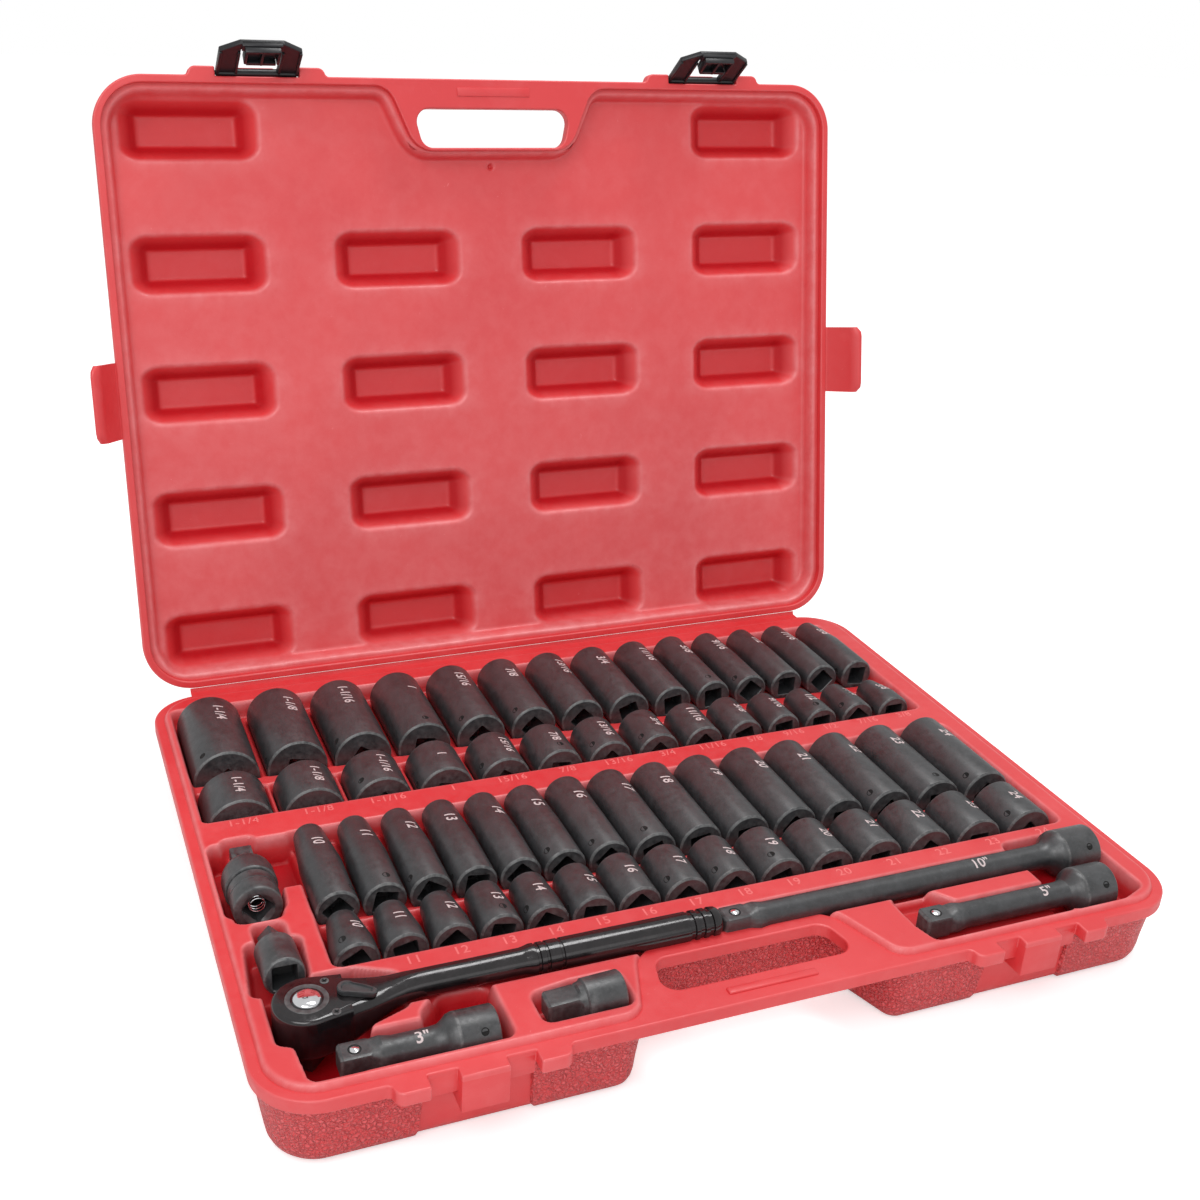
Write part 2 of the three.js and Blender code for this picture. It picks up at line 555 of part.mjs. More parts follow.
function lidShell() {
  const top = LID_LOW + LID_HEIGHT;
  const shell = stack([
    { points: outline(lidOutline, 0), z: LID_LOW + 1 },
    { points: outline(lidOutline, 0), z: top - BOTTOM_ROUND },
    { points: outline(lidOutline, BOTTOM_ROUND * 0.25), z: top - BOTTOM_ROUND * 0.3 },
    { points: outline(lidOutline, BOTTOM_ROUND * 0.8), z: top },
  ]);
  const flange = prism(edgeOutline, LID_LOW, LID_LOW + FLANGE_HEIGHT);
  const parts = [shell, flange, sideTab(-1), sideTab(1)];
  latchCentres.forEach((centre) => {
    const lugHalf = LATCH_WINDOW_WIDTH / 2 - 1;
    [-1, 1].forEach((side) => parts.push(ear(centre, side, LID_EAR_REACH, LID_LOW, LID_LOW + FLANGE_HEIGHT)));
    parts.push(box(centre - lugHalf, centre + lugHalf, FRONT - LID_EAR_REACH, FRONT + 6,
      LID_LOW + FLANGE_HEIGHT / 2 + LATCH_BAR_RADIUS + 2 * GAP, LID_LOW + FLANGE_HEIGHT + 1));
  });
  return join(...parts);
}

function lidHingeStrip() {
  const near = REAR + HINGE_BEHIND - HINGE_BEAD - GAP;
  return box(-HINGE_LENGTH / 2, HINGE_LENGTH / 2, REAR - 5, near, LID_LOW, LID_LOW + HINGE_STRIP);
}

function caseLid() {
  const latchCuts = latchCentres.flatMap((centre) => {
    const pivotY = FRONT - LATCH_PIVOT_AHEAD;
    const pinHole = rod(LATCH_PIN_RADIUS + GAP, centre - earGap - 4, centre + earGap + 4, 8);
    return [
      yToX(pinHole).translate(0, pivotY, LID_LOW + FLANGE_HEIGHT / 2),
      box(centre - earGap, centre + earGap, pivotY - 9, pivotY + LATCH_BAR_RADIUS + GAP,
        LID_LOW - 1, LID_LOW + FLANGE_HEIGHT / 2 + LATCH_BAR_RADIUS + GAP),
    ];
  });
  return cut(
    join(lidShell(), lidHingeStrip()),
    prism(handleHole, LID_LOW - 1, ABOVE + 20),
    prism(trayOutline(-2), LID_LOW - 1, LID_LOW + LID_STEP_DEPTH, RIM_WIDTH),
    prism(trayOutline(-4.4), LID_LOW, LID_LOW + LID_FIELD_DEPTH, RIM_WIDTH + LID_STEP_WIDTH),
    gripBar(0.4, LID_LOW - 1, LID_LOW + GRIP_BAR_RISE),
    ...lidPockets(),
    ...latchCuts,
  );
}

// ---------------------------------------------------------------- latch, drawn hanging from its pivot

function latch() {
  const half = LATCH_WIDTH / 2;
  const window = LATCH_WINDOW_WIDTH / 2;
  const shoulder = LATCH_LENGTH - 8;
  const plate = risingToY(prism([
    [-half, 0], [half, 0], [half, shoulder], [window + 1, LATCH_LENGTH], [-window - 1, LATCH_LENGTH],
    [-half, shoulder],
  ], -2.4, 1.2));
  const opening = bar(rectangle(-window, window, -1, LATCH_WINDOW_END), -3, 2);
  const hook = risingToY(stack([
    { points: outline(rectangle(-window, window, LATCH_WINDOW_END, LATCH_LENGTH)), z: 0 },
    { points: outline(rectangle(-window + 1.5, window - 1.5, LATCH_WINDOW_END, LATCH_LENGTH - 1)), z: LATCH_HOOK_REACH },
  ]));
  const hollow = (from, to) => bar(rectangle(from, to, LATCH_WINDOW_END + 1.4, LATCH_LENGTH - 2), 3, LATCH_HOOK_REACH + 1);
  const hingeBar = yToX(rod(LATCH_BAR_RADIUS, -half, half, 10));
  const pin = yToX(rod(LATCH_PIN_RADIUS, -half - 3.8, half + 3.8, 8));
  return join(cut(join(plate, hook), opening, hollow(-10, -1), hollow(1, 10)), hingeBar, pin);
}

// ---------------------------------------------------------------- turned tools, along +X from the tip

const squareBar = (across, from, to) => bar(regular(4, across), from, to);

function squareTip(across, length, chamfer = 1.2) {
  const points = (inset) => outline(regular(4, across), inset);
  return risingToY(stack([
    { points: points(chamfer), z: 0 },
    { points: points(0), z: chamfer },
    { points: points(0), z: length },
  ]));
}

function extension({ length, shaft, end, endLength, flare }) {
  const neckAt = DRIVE_DEPTH + 1;
  const bell = length - endLength;
  const body = turned([
    [0, neckAt], [shaft + 0.6, neckAt], [shaft + COLLAR_RISE, neckAt + 5], [shaft, neckAt + 11],
    [shaft, bell - flare], [end, bell], [end, length - 1], [end - 1, length], [0, length],
  ]);
  const solid = cut(
    join(body, squareTip(DRIVE_SQUARE, neckAt + 1)),
    squareBar(DRIVE_SOCKET, length - DRIVE_DEPTH, length + 1),
  );
  return solid;
}

function adapter({ length, tip, tipLength, end }) {
  const body = turned([
    [0, tipLength], [tip * 0.68, tipLength], [end, tipLength + 7], [end, length - 1], [end - 1, length], [0, length],
  ]);
  return cut(join(body, squareTip(tip, tipLength + 1)), squareBar(DRIVE_SOCKET, length - DRIVE_DEPTH, length + 1));
}

// ---------------------------------------------------------------- universal joint, along +Y from its ball

// The square stub points to the rear, so it lies on the positive side of the ball.
function ujointDrive() {
  const { ball, neck, stubFrom, stubTo } = UJOINT;
  const sphere = new THREE.SphereGeometry(ball, 10, 6);
  const stub = squareTip(DRIVE_SQUARE, stubTo - stubFrom).rotateX(Math.PI).translate(0, stubTo, 0);
  return join(sphere, rod(neck, ball - 3, stubFrom + 1), stub);
}

function ujointCollar() {
  const { ball, play, collar, collarRear, collarFront, sleeve } = UJOINT;
  const cavity = ball + play;
  const outside = turned([
    [0, -collarFront], [collar - 0.6, -collarFront], [collar, -collarFront + 0.8], [collar, 3],
    [collar * 0.9, collarRear - 3], [collar * 0.68, collarRear], [0, collarRear],
  ]);
  const mouth = turned([[0, 1], [ball - 0.9, 1], [ball - 0.9, 5.5], [ball + 0.1, collarRear + 1], [0, collarRear + 1]]);
  const throat = rod(sleeve - 2.4 + GAP, -collarFront - 1, -cavity * 0.4);
  return cut(outside, new THREE.SphereGeometry(cavity, 10, 6), mouth, throat);
}

function ujointSleeve() {
  const { ball, play, collarFront, sleeve, sleeveEnd } = UJOINT;
  const outside = turned([
    [0, -sleeveEnd], [sleeve - 1, -sleeveEnd], [sleeve, 1 - sleeveEnd], [sleeve, -collarFront - GAP],
    [sleeve - 2.4, -collarFront - GAP], [sleeve - 2.4, -5], [0, -5],
  ]);
  const square = bar(regular(4, DRIVE_SOCKET, Math.PI / 4), -sleeveEnd - 1, DRIVE_DEPTH - sleeveEnd);
  return cut(outside, square, new THREE.SphereGeometry(ball + play, 10, 6));
}

// ---------------------------------------------------------------- ratchet, along +X from its head

const ratchetTop = RATCHET.top - RATCHET.handleZ;
const ratchetUnder = ratchetTop - RATCHET.headHeight;

// The head's plan: a round nose that narrows towards the neck at the given length.
function headPlan(inset, length, endWidth) {
  const radius = RATCHET.headRadius - inset;
  const steps = 14;
  const round = Array.from({ length: steps + 1 }, (_, i) => {
    const angle = THREE.MathUtils.degToRad(75 + (210 * i) / steps);
    return new THREE.Vector2(radius * Math.cos(angle), radius * Math.sin(angle));
  });
  const tail = [new THREE.Vector2(length, -endWidth), new THREE.Vector2(length, endWidth)];
  return [...round, ...tail];
}

// One section across the neck, between a boxy head and a round handle.
function neckSection(halfWidth, low, high, squareness) {
  const middle = (low + high) / 2;
  const halfHeight = (high - low) / 2;
  return Array.from({ length: ROUND_STEPS }, (_, i) => {
    const angle = (i * 2 * Math.PI) / ROUND_STEPS;
    const [c, s] = [Math.cos(angle), Math.sin(angle)];
    const size = (Math.abs(c) ** squareness + Math.abs(s) ** squareness) ** (-1 / squareness);
    return new THREE.Vector2(-middle - halfHeight * size * c, halfWidth * size * s).multiply({ x: 1, y: -1 });
  });
}

function ratchetBody() {
  const r = RATCHET;
  const head = stack([
    { points: headPlan(2, 22, 12.5), z: ratchetUnder },
    { points: headPlan(0, 22, 14), z: ratchetUnder + 2.5 },
    { points: headPlan(0, 22, 14), z: ratchetTop - 1 },
    { points: headPlan(1, 22, 13.4), z: ratchetTop },
  ]);
  const neck = stack([
    { points: neckSection(14.2, ratchetUnder + 0.6, ratchetTop, 5), z: 18 },
    { points: neckSection(12.6, ratchetUnder + 3, ratchetTop - 0.3, 4), z: 27 },
    { points: neckSection(9.2, -10, ratchetTop, 3), z: 40 },
    { points: neckSection(r.handleRadius, -r.handleRadius, r.handleRadius - 1, 2), z: 55 },
  ]).rotateY(Math.PI / 2);
  const groove = (at) => [[r.gripRadius, at - 1], [r.gripRadius - 1, at], [r.gripRadius, at + 1]];
  const handle = yToX(turned([
    [0, 46], [r.handleRadius - 0.4, 46], [r.handleRadius, r.gripFrom - 6], ...groove(r.gripFrom),
    ...groove(r.gripTo + 10),
    [r.gripRadius - 0.4, r.length - 2], [r.gripRadius - 2.4, r.length], [0, r.length],
  ]));
  const under = ratchetTop - r.coverThickness - GAP;
  return cut(
    join(head, neck, handle),
    yToZ(rod(r.driveRadius + GAP, -30, 30)),
    stack([
      { points: headPlan(r.coverEdge, r.coverLength, 6.4), z: under },
      { points: headPlan(r.coverEdge, r.coverLength, 6.4), z: ratchetTop + 1 },
    ]),
    yToZ(rod(r.leverPin + GAP, under - 5, under + 1, 8)).translate(r.leverAt, 0, 0),
  );
}

function ratchetCover() {
  const r = RATCHET;
  const edge = r.coverEdge + GAP;
  return cut(
    stack([
      { points: headPlan(edge, r.coverLength - GAP, 6.4 - GAP), z: ratchetTop - r.coverThickness },
      { points: headPlan(edge, r.coverLength - GAP, 6.4 - GAP), z: ratchetTop - 0.1 },
    ]),
    yToZ(rod(r.driveRadius + GAP, -30, 30)),
    yToZ(rod(r.leverPin + GAP, -30, 30, 8)).translate(r.leverAt, 0, 0),
  );
}

// The drive turns in the head: a drum with the square below it and the button's bore on top.
function ratchetDrive() {
  const r = RATCHET;
  const drumTop = ratchetTop + 0.3;
  const drum = yToZ(turned([
    [0, ratchetUnder], [r.driveRadius, ratchetUnder], [r.driveRadius, drumTop - 0.8],
    [r.driveRadius - 0.8, drumTop], [0, drumTop],
  ]));
  const square = regular(4, DRIVE_SQUARE, Math.PI / 4);
  const low = ratchetUnder - r.anvilLength;
  const anvil = stack([
    { points: outline(square, 1), z: low },
    { points: outline(square), z: low + 1 },
    { points: outline(square), z: ratchetUnder + 1 },
  ]);
  const boreFloor = drumTop + r.buttonProud - r.buttonHeight - r.buttonStroke - GAP;
  return cut(join(drum, anvil), yToZ(rod(r.buttonRadius + GAP, boreFloor, drumTop + 1)));
}

function ratchetButton() {
  const r = RATCHET;
  const high = ratchetTop + 0.3 + r.buttonProud;
  return yToZ(turned([
    [0, high - r.buttonHeight], [r.buttonRadius, high - r.buttonHeight], [r.buttonRadius, high - 1.7],
    [r.buttonRadius * 0.9, high - 0.7], [r.buttonRadius * 0.55, high], [0, high],
  ]));
}

// The reversing lever turns on a pin in the head and is thrown to one side.
function ratchetLever() {
  const r = RATCHET;
  const low = ratchetTop - 0.1 + GAP;
  const plan = [
    ...Array.from({ length: 9 }, (_, i) => {
      const angle = THREE.MathUtils.degToRad(70 + (220 * i) / 8);
      return new THREE.Vector2(r.leverRadius * Math.cos(angle), r.leverRadius * Math.sin(angle));
    }),
    new THREE.Vector2(r.leverLength, -1.8),
    new THREE.Vector2(r.leverLength, 1.8),
  ];
  const arm = stack([{ points: plan, z: low }, { points: plan, z: low + r.leverHeight }]);
  return join(arm, yToZ(rod(r.leverPin, low - 6, low + 0.5, 8)));
}

// ---------------------------------------------------------------- assembly

const set = new THREE.Group();
const quarter = Math.PI / 2;

function placed(parent, x, y, z, turnX = 0, turnY = 0, turnZ = 0) {
  const group = new THREE.Group();
  group.position.set(x, y, z);
  group.rotation.set(turnX, turnY, turnZ);
  parent.add(group);
  return group;
}

addPiece(set, 'case_base', caseBase(), redPlastic);

const hinge = placed(set, 0, REAR + HINGE_BEHIND, PARTING + HINGE_ABOVE, -LID_OPEN_ANGLE);
const lidSpace = placed(hinge, 0, -REAR - HINGE_BEHIND, -PARTING - HINGE_ABOVE);
addPiece(lidSpace, 'case_lid', caseLid(), redPlastic);
['left', 'right'].forEach((side, i) => {
  const pivotZ = LID_LOW + FLANGE_HEIGHT / 2;
  const pivot = placed(lidSpace, latchCentres[i], FRONT - LATCH_PIVOT_AHEAD, pivotZ, -LATCH_SWING);
  addPiece(pivot, `latch_${side}`, latch(), blackPlastic);
});

inchSockets.forEach((socket) => {
  addSocket(set, `deep_${socket.size}`, socket, deepKind, INCH_ROW.deepFront);
  addSocket(set, `shallow_${socket.size}`, socket, shallowKind, INCH_ROW.shallowFront);
});
metricSockets.forEach((socket) => {
  addSocket(set, `deep_${socket.size}`, socket, deepKind, METRIC_ROW.deepFront);
});

[['extension_10in', EXTENSION_10], ['extension_5in', EXTENSION_5], ['extension_3in', EXTENSION_3]]
  .forEach(([name, tool]) => {
    addPiece(placed(set, tool.x, tool.y, tool.z, 0, 0, -quarter), name, extension(tool), impactSteel);
  });

const front = ADAPTER_FRONT;
const frontTilt = THREE.MathUtils.degToRad(front.tilt);
const frontAdapter = placed(set, front.x, front.y, front.z, 0, -frontTilt);
addPiece(placed(frontAdapter, 0, 0, 0, 0, 0, -quarter), 'adapter_front', adapter(front), impactSteel);

// This one points to the front, so it is turned half round about the vertical first.
const left = ADAPTER_LEFT;
const leftTilt = THREE.MathUtils.degToRad(left.tilt);
const leftAdapter = placed(set, left.x, left.y, left.z, -leftTilt);
addPiece(placed(leftAdapter, 0, 0, 0, 0, 0, Math.PI), 'adapter_left', adapter(left), impactSteel);

const ujoint = placed(set, UJOINT.x, UJOINT.y, UJOINT.z);
addPiece(ujoint, 'ujoint_drive', ujointDrive(), impactSteel);
const swivelled = placed(ujoint, 0, 0, 0, -THREE.MathUtils.degToRad(UJOINT.tilt));
addPiece(swivelled, 'ujoint_collar', ujointCollar(), impactSteel);
addPiece(swivelled, 'ujoint_sleeve', ujointSleeve(), impactSteel);

const ratchet = placed(set, RATCHET.x, RATCHET.y, RATCHET.handleZ);
addPiece(ratchet, 'ratchet_body', ratchetBody(), polishedBlack);
addPiece(ratchet, 'ratchet_cover', ratchetCover(), polishedBlack);
addPiece(ratchet, 'ratchet_drive', ratchetDrive(), impactSteel);
addPiece(ratchet, 'ratchet_button', ratchetButton(), chrome);
const leverTurn = THREE.MathUtils.degToRad(RATCHET.leverTurn);
addPiece(placed(ratchet, RATCHET.leverAt, 0, 0, 0, 0, -leverTurn), 'ratchet_lever', ratchetLever(), polishedBlack);

export default set;
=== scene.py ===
import math

import bmesh
import bpy
import numpy as np
from mathutils import Matrix, Vector


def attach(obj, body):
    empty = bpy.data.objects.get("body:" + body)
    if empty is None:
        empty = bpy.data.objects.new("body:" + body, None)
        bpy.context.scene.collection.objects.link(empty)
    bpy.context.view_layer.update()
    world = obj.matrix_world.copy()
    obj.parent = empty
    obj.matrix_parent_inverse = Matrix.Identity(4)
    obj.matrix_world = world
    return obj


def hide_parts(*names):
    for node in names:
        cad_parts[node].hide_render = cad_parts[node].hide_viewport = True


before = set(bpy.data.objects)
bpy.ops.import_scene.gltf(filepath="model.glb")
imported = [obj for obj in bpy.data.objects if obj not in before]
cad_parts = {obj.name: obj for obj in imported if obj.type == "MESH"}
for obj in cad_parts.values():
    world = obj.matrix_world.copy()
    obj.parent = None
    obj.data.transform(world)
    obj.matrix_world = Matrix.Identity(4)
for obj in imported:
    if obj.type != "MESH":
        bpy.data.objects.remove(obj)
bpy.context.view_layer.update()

# ---------------- sizes, in millimetres

BASE = 48.0  # height of the parting plane
LID_LOW = BASE + 0.3
HALF_WIDTH, HALF_DEPTH = 269.0, 201.0
CORNER = 33.0
HINGE = (206.8, BASE + 1.1)
LID_OPEN = 102.7  # degrees
LATCH_X = (-162.5, 162.5)
LATCH_SWING = 26  # degrees
TRAY_RISE = 3.0
SHALLOW_TOP = 10.5  # above the parting plane
DEEP_LENGTH, SHALLOW_LENGTH = 76.5, 36.5
RIB_TOP, DIVIDER_TOP = -8.0, -5.0

INCH = dict(
    left=-257, right=245, front=38, rear=176.5, deep=93, top=15.2, shallow=43, first=-234, web=lambda r: 4.63,
    sockets=[  # key, across flats, diameter at the drive end and at the nose
        ("1_1-4in", 31.75, 42, 42), ("1_1-8in", 28.6, 39, 39), ("1_1-16in", 27, 38, 38),
        ("1in", 25.4, 36, 36), ("15-16in", 23.8, 34, 34), ("7-8in", 22.2, 32, 32),
        ("13-16in", 20.6, 31, 31), ("3-4in", 19.05, 30, 30), ("11-16in", 17.5, 28, 28),
        ("5-8in", 15.9, 26, 26), ("9-16in", 14.3, 25, 22.5), ("1-2in", 12.7, 25, 21),
        ("7-16in", 11.1, 25, 19.5), ("3-8in", 9.5, 25, 17.5),
    ],
)
METRIC = dict(
    left=-213.5, right=247, front=-113, rear=12.5, deep=-65.5, top=12.5, shallow=-109, first=-200.5,
    web=lambda r: 1.7 + 0.27 * (r - 25),
    sockets=[
        ("10mm", 10, 25, 18), ("11mm", 11, 25, 19), ("12mm", 12, 25, 19.5),
        ("13mm", 13, 25, 21.5), ("14mm", 14, 25, 22), ("15mm", 15, 26, 23.5),
        ("16mm", 16, 26, 26), ("17mm", 17, 28, 28), ("18mm", 18, 28, 28),
        ("19mm", 19, 30, 30), ("20mm", 20, 30, 30), ("21mm", 21, 31, 31),
        ("22mm", 22, 32, 32), ("23mm", 23, 33, 33), ("24mm", 24, 34, 34),
    ],
)


def lay_out(row):
    x, placed = row["first"], []
    for i, (key, across, drive, nose) in enumerate(row["sockets"]):
        if i:
            reach = (row["sockets"][i - 1][2] + drive) / 2
            x += reach + row["web"](reach)
        label = key[:-2].replace("-", "/").replace("_", "-")
        placed.append(dict(key=key, label=label, across=across, drive=drive / 2, nose=nose / 2, x=x))
    return placed


INCH_SOCKETS, METRIC_SOCKETS = lay_out(INCH), lay_out(METRIC)

# ---------------- materials


class Tree:
    """The node tree of a material or a world, with short ways to add and link its nodes."""

    def __init__(self, owner):
        owner.use_nodes = True
        self.nodes, self.links = owner.node_tree.nodes, owner.node_tree.links
        self.link = self.links.new
        self.shader = self.nodes.get("Principled BSDF")

    def add(self, kind, **values):
        made = self.nodes.new("ShaderNode" + kind)
        for key, value in values.items():
            if key in made.inputs:
                made.inputs[key].default_value = value
            else:
                setattr(made, key, value)
        return made

    def feed(self, name, source):
        self.link(source, self.shader.inputs[name])

    def noise(self, scale, detail=3.0, rough=0.5, distortion=0.0):
        coords = self.add("TexCoord")
        made = self.add("TexNoise", Scale=scale, Detail=detail, Roughness=rough, Distortion=distortion)
        self.link(coords.outputs["Object"], made.inputs["Vector"])
        return made.outputs["Fac"]

    def ramp(self, source, low, high, from_min=0.35, from_max=0.65):
        limits = {"From Min": from_min, "From Max": from_max, "To Min": low, "To Max": high}
        made = self.add("MapRange", **limits)
        self.link(source, made.inputs["Value"])
        return made.outputs["Result"]

    def mix(self, factor, a, b):
        made = self.add("Mix", data_type="RGBA")
        for socket, value in ((made.inputs[0], factor), (made.inputs[6], a), (made.inputs[7], b)):
            if isinstance(value, tuple):
                socket.default_value = (*value, 1)
            else:
                self.link(value, socket)
        return made.outputs[2]

    def times(self, a, b, **values):
        made = self.add("Math", operation="MULTIPLY", **values)
        self.link(a, made.inputs[0])
        self.link(b, made.inputs[1])
        return made.outputs[0]

    def bump(self, height, distance, strength=1.0, before=None):
        made = self.add("Bump", Strength=strength, Distance=distance)
        self.link(height, made.inputs["Height"])
        if before:
            self.link(before.outputs["Normal"], made.inputs["Normal"])
        self.feed("Normal", made.outputs["Normal"])
        return made

    def wear_and_painted_light(self):
        return self.add("Attribute", attribute_name="wear_and_painted_light").outputs["Fac"]


def new_material(name):
    mat = bpy.data.materials.new(name)
    return mat, Tree(mat)


def red_plastic(name, grain):
    """Red plastic, paler where its per-point attribute is above 0 (edge wear, and painted light on the lid's
    field) and darker, with painted shade, where it is below.
    """
    mat, t = new_material(name)
    broad = t.ramp(t.noise(9, 3, 0.55), 0, 1)
    colour = t.mix(broad, (0.67, 0.026, 0.032), (0.73, 0.040, 0.045))
    haze = t.ramp(t.noise(38, 5, 0.65, 0.5), 0, 0.04 if grain else 0.14, 0.50, 0.72)
    colour = t.mix(haze, colour, (0.80, 0.16, 0.17))
    scuffs = t.ramp(t.noise(240, 4, 0.7, 1.2), 0, 0.1 if grain else 0.5, 0.69, 0.76)
    colour = t.mix(scuffs, colour, (0.86, 0.30, 0.31))
    wear_and_painted_light = t.wear_and_painted_light()
    # below 0 the attribute paints shade: hollows turn a deep dark red and less glossy
    painted_hollow_shade = t.ramp(wear_and_painted_light, 1, 0, -1, 0)
    colour = t.mix(painted_hollow_shade, colour, (0.50, 0.004, 0.010))
    # above 0 it pales the colour: edge wear, and painted light on the lid's field
    wear_and_painted_light_marks = t.times(wear_and_painted_light, t.ramp(t.noise(90, 3, 0.6), 0.5, 0.9), use_clamp=True)
    colour = t.mix(wear_and_painted_light_marks, colour, (0.88, 0.34, 0.35))
    t.feed("Roughness", t.ramp(t.noise(160, 4), 0.36, 0.50))
    t.feed("Specular IOR Level", t.ramp(painted_hollow_shade, 0.85, 0.35, 0, 1))
    fine = t.bump(t.noise(1100, 3, 0.6), 0.00014, 0.6)
    if grain:
        coords = t.add("TexCoord")
        wander = t.add("TexNoise", Scale=330, Detail=1.5)
        t.link(coords.outputs["Object"], wander.inputs["Vector"])
        shifted = t.add("VectorMath", operation="MULTIPLY_ADD")
        t.link(wander.outputs["Color"], shifted.inputs[0])
        shifted.inputs[1].default_value = (0.0034, 0.0034, 0.0034)
        t.link(coords.outputs["Object"], shifted.inputs[2])
        pebbles = t.add("TexVoronoi", feature="DISTANCE_TO_EDGE", Scale=390)
        t.link(shifted.outputs[0], pebbles.inputs["Vector"])
        height = t.ramp(pebbles.outputs["Distance"], 0, 1, 0.02, 0.26)
        # pebble tops paler than the gaps between them: painted highlight on the raised grain
        colour = t.mix(t.ramp(height, 0, 0.24, 0, 1), colour, (0.86, 0.20, 0.21))
        t.bump(height, 0.0010, before=fine)
    else:
        t.bump(t.noise(16, 2, 0.5), 0.0016, 0.5, fine)
    t.feed("Base Color", colour)
    return mat


def steel(name, base, worn_colour, rough, metallic, marks=True):
    def tone(share):
        return tuple(c * share for c in base)

    mat, t = new_material(name)
    colour = t.mix(t.ramp(t.noise(90, 5, 0.7, 0.6), 0, 1), tone(0.7), tone(1.7))
    for scale, share in ((420, 0.5), (1000, 0.8)):
        colour = t.mix(t.ramp(t.noise(scale, 4, 0.7, 1.0), 0, share, 0.58, 0.74), colour, tone(3.6))
    edge = t.times(t.wear_and_painted_light(), t.ramp(t.noise(300, 5, 0.7), 0.0, 0.9, 0.35, 0.7))
    t.feed("Base Color", t.mix(edge, colour, worn_colour))
    t.shader.inputs["Metallic"].default_value = metallic
    t.feed("Roughness", t.ramp(t.noise(300, 5, 0.7), rough - 0.08, rough + 0.1))
    t.shader.inputs["Specular IOR Level"].default_value = 0.9
    if marks:
        t.bump(t.noise(1400, 4, 0.7), 0.00007, 0.7)
    return mat


def plain(name, colour, rough, metallic=0.0, bumpy=0.0):
    mat, t = new_material(name)
    tone = t.ramp(t.noise(180, 3), 0, 1)
    t.feed("Base Color", t.mix(tone, colour, tuple(c * 1.12 for c in colour)))
    t.shader.inputs["Metallic"].default_value = metallic
    t.feed("Roughness", t.ramp(t.noise(400, 3), rough * 0.85, rough * 1.15))
    if bumpy:
        t.bump(t.noise(900, 3), bumpy, 0.5)
    return mat


RED = red_plastic("red_smooth", False)
RED_GRAIN = red_plastic("red_grained", True)
RED_LETTER = plain("red_lettering", (0.80, 0.15, 0.15), 0.45)
BLACK_PLASTIC = plain("black_plastic", (0.012, 0.012, 0.014), 0.34, bumpy=0.0001)
STEEL = steel("black_steel", (0.021, 0.022, 0.024), (0.17, 0.17, 0.17), 0.40, 0.0)
GLOSS = steel("polished_black", (0.010, 0.008, 0.009), (0.10, 0.09, 0.09), 0.14, 0.25, marks=False)
CHROME = plain("chrome", (0.82, 0.82, 0.84), 0.08, metallic=1.0)
# dark sheets for pin holes, screw slots and the gaps round detent balls: painted shade
PAINTED_HOLE_SHADE = plain("hole", (0.004, 0.004, 0.004), 0.9)
MARK = plain("laser_mark", (0.60, 0.50, 0.50), 0.6)

# ---------------- mesh helpers


def at(x, y, z):
    return Matrix.Translation((x, y, z))


def turned(degrees, axis):
    return Matrix.Rotation(math.radians(degrees), 4, axis)


TO_X = turned(-90, "Z")
TO_Z = turned(90, "X")


def moved(verts, place):
    """Points moved by a matrix, if there is one."""
    verts = np.asarray(verts, float)
    if place is None:
        return verts
    matrix = np.array(place)
    return verts @ matrix[:3, :3].T + matrix[:3, 3]


def level(pts, z):
    """Points of a plan (n, 2) at one height."""
    return np.column_stack([pts, np.full(len(pts), z)])


def bulge(mesh):
    """How far each point stands out of its neighbours: 0 on a flat, more on a convex edge."""
    count = len(mesh.vertices)
    points, normals = np.zeros(count * 3), np.zeros(count * 3)
    mesh.vertices.foreach_get("co", points)
    mesh.vertices.foreach_get("normal", normals)
    points, normals = points.reshape(-1, 3), normals.reshape(-1, 3)
    ends = np.zeros(len(mesh.edges) * 2, int)
    mesh.edges.foreach_get("vertices", ends)
    a, b = ends.reshape(-1, 2).T
    along = points[b] - points[a]
    along /= np.maximum(np.linalg.norm(along, axis=1, keepdims=True), 1e-9)
    total, met = np.zeros(count), np.zeros(count)
    for end, sign in ((a, -1), (b, 1)):
        np.add.at(total, end, sign * (normals[end] * along).sum(1))
        np.add.at(met, end, 1)
    return total / np.maximum(met, 1)


def add_mesh(
    name, verts, faces, mats, body, replaces=(), place=None, sharp=35,
    wear_and_painted_light=None, face_mats=None, edge_wear=0.0
):
    """Adds a piece whose vertices are in millimetres, moved by the matrix place, and lets it ride on body."""
    mesh = bpy.data.meshes.new(name)
    mesh.from_pydata((moved(verts, place) * 0.001).tolist(), [], [tuple(f) for f in faces])
    for mat in mats:
        mesh.materials.append(mat)
    if face_mats is not None:
        mesh.polygons.foreach_set("material_index", np.asarray(face_mats, np.int32))
    # the per-point attribute holds edge wear above 0; on the red parts it also holds painted light, a painted
    # highlight above 0 and painted shade below 0
    layer = mesh.attributes.new("wear_and_painted_light", "FLOAT", "POINT")
    if edge_wear:
        wear_and_painted_light_marks = np.clip((bulge(mesh) - 0.04) * edge_wear, 0, 1)
        wear_and_painted_light = wear_and_painted_light_marks if wear_and_painted_light is None else np.maximum(wear_and_painted_light, wear_and_painted_light_marks)
    if wear_and_painted_light is not None:
        layer.data.foreach_set("value", np.asarray(wear_and_painted_light, np.float32))
    mesh.polygons.foreach_set("use_smooth", np.ones(len(mesh.polygons), bool))
    mesh.set_sharp_from_angle(angle=math.radians(sharp))
    mesh.validate()
    obj = bpy.data.objects.new(name, mesh)
    bpy.context.scene.collection.objects.link(obj)
    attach(obj, body)
    if replaces:
        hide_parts(*replaces)


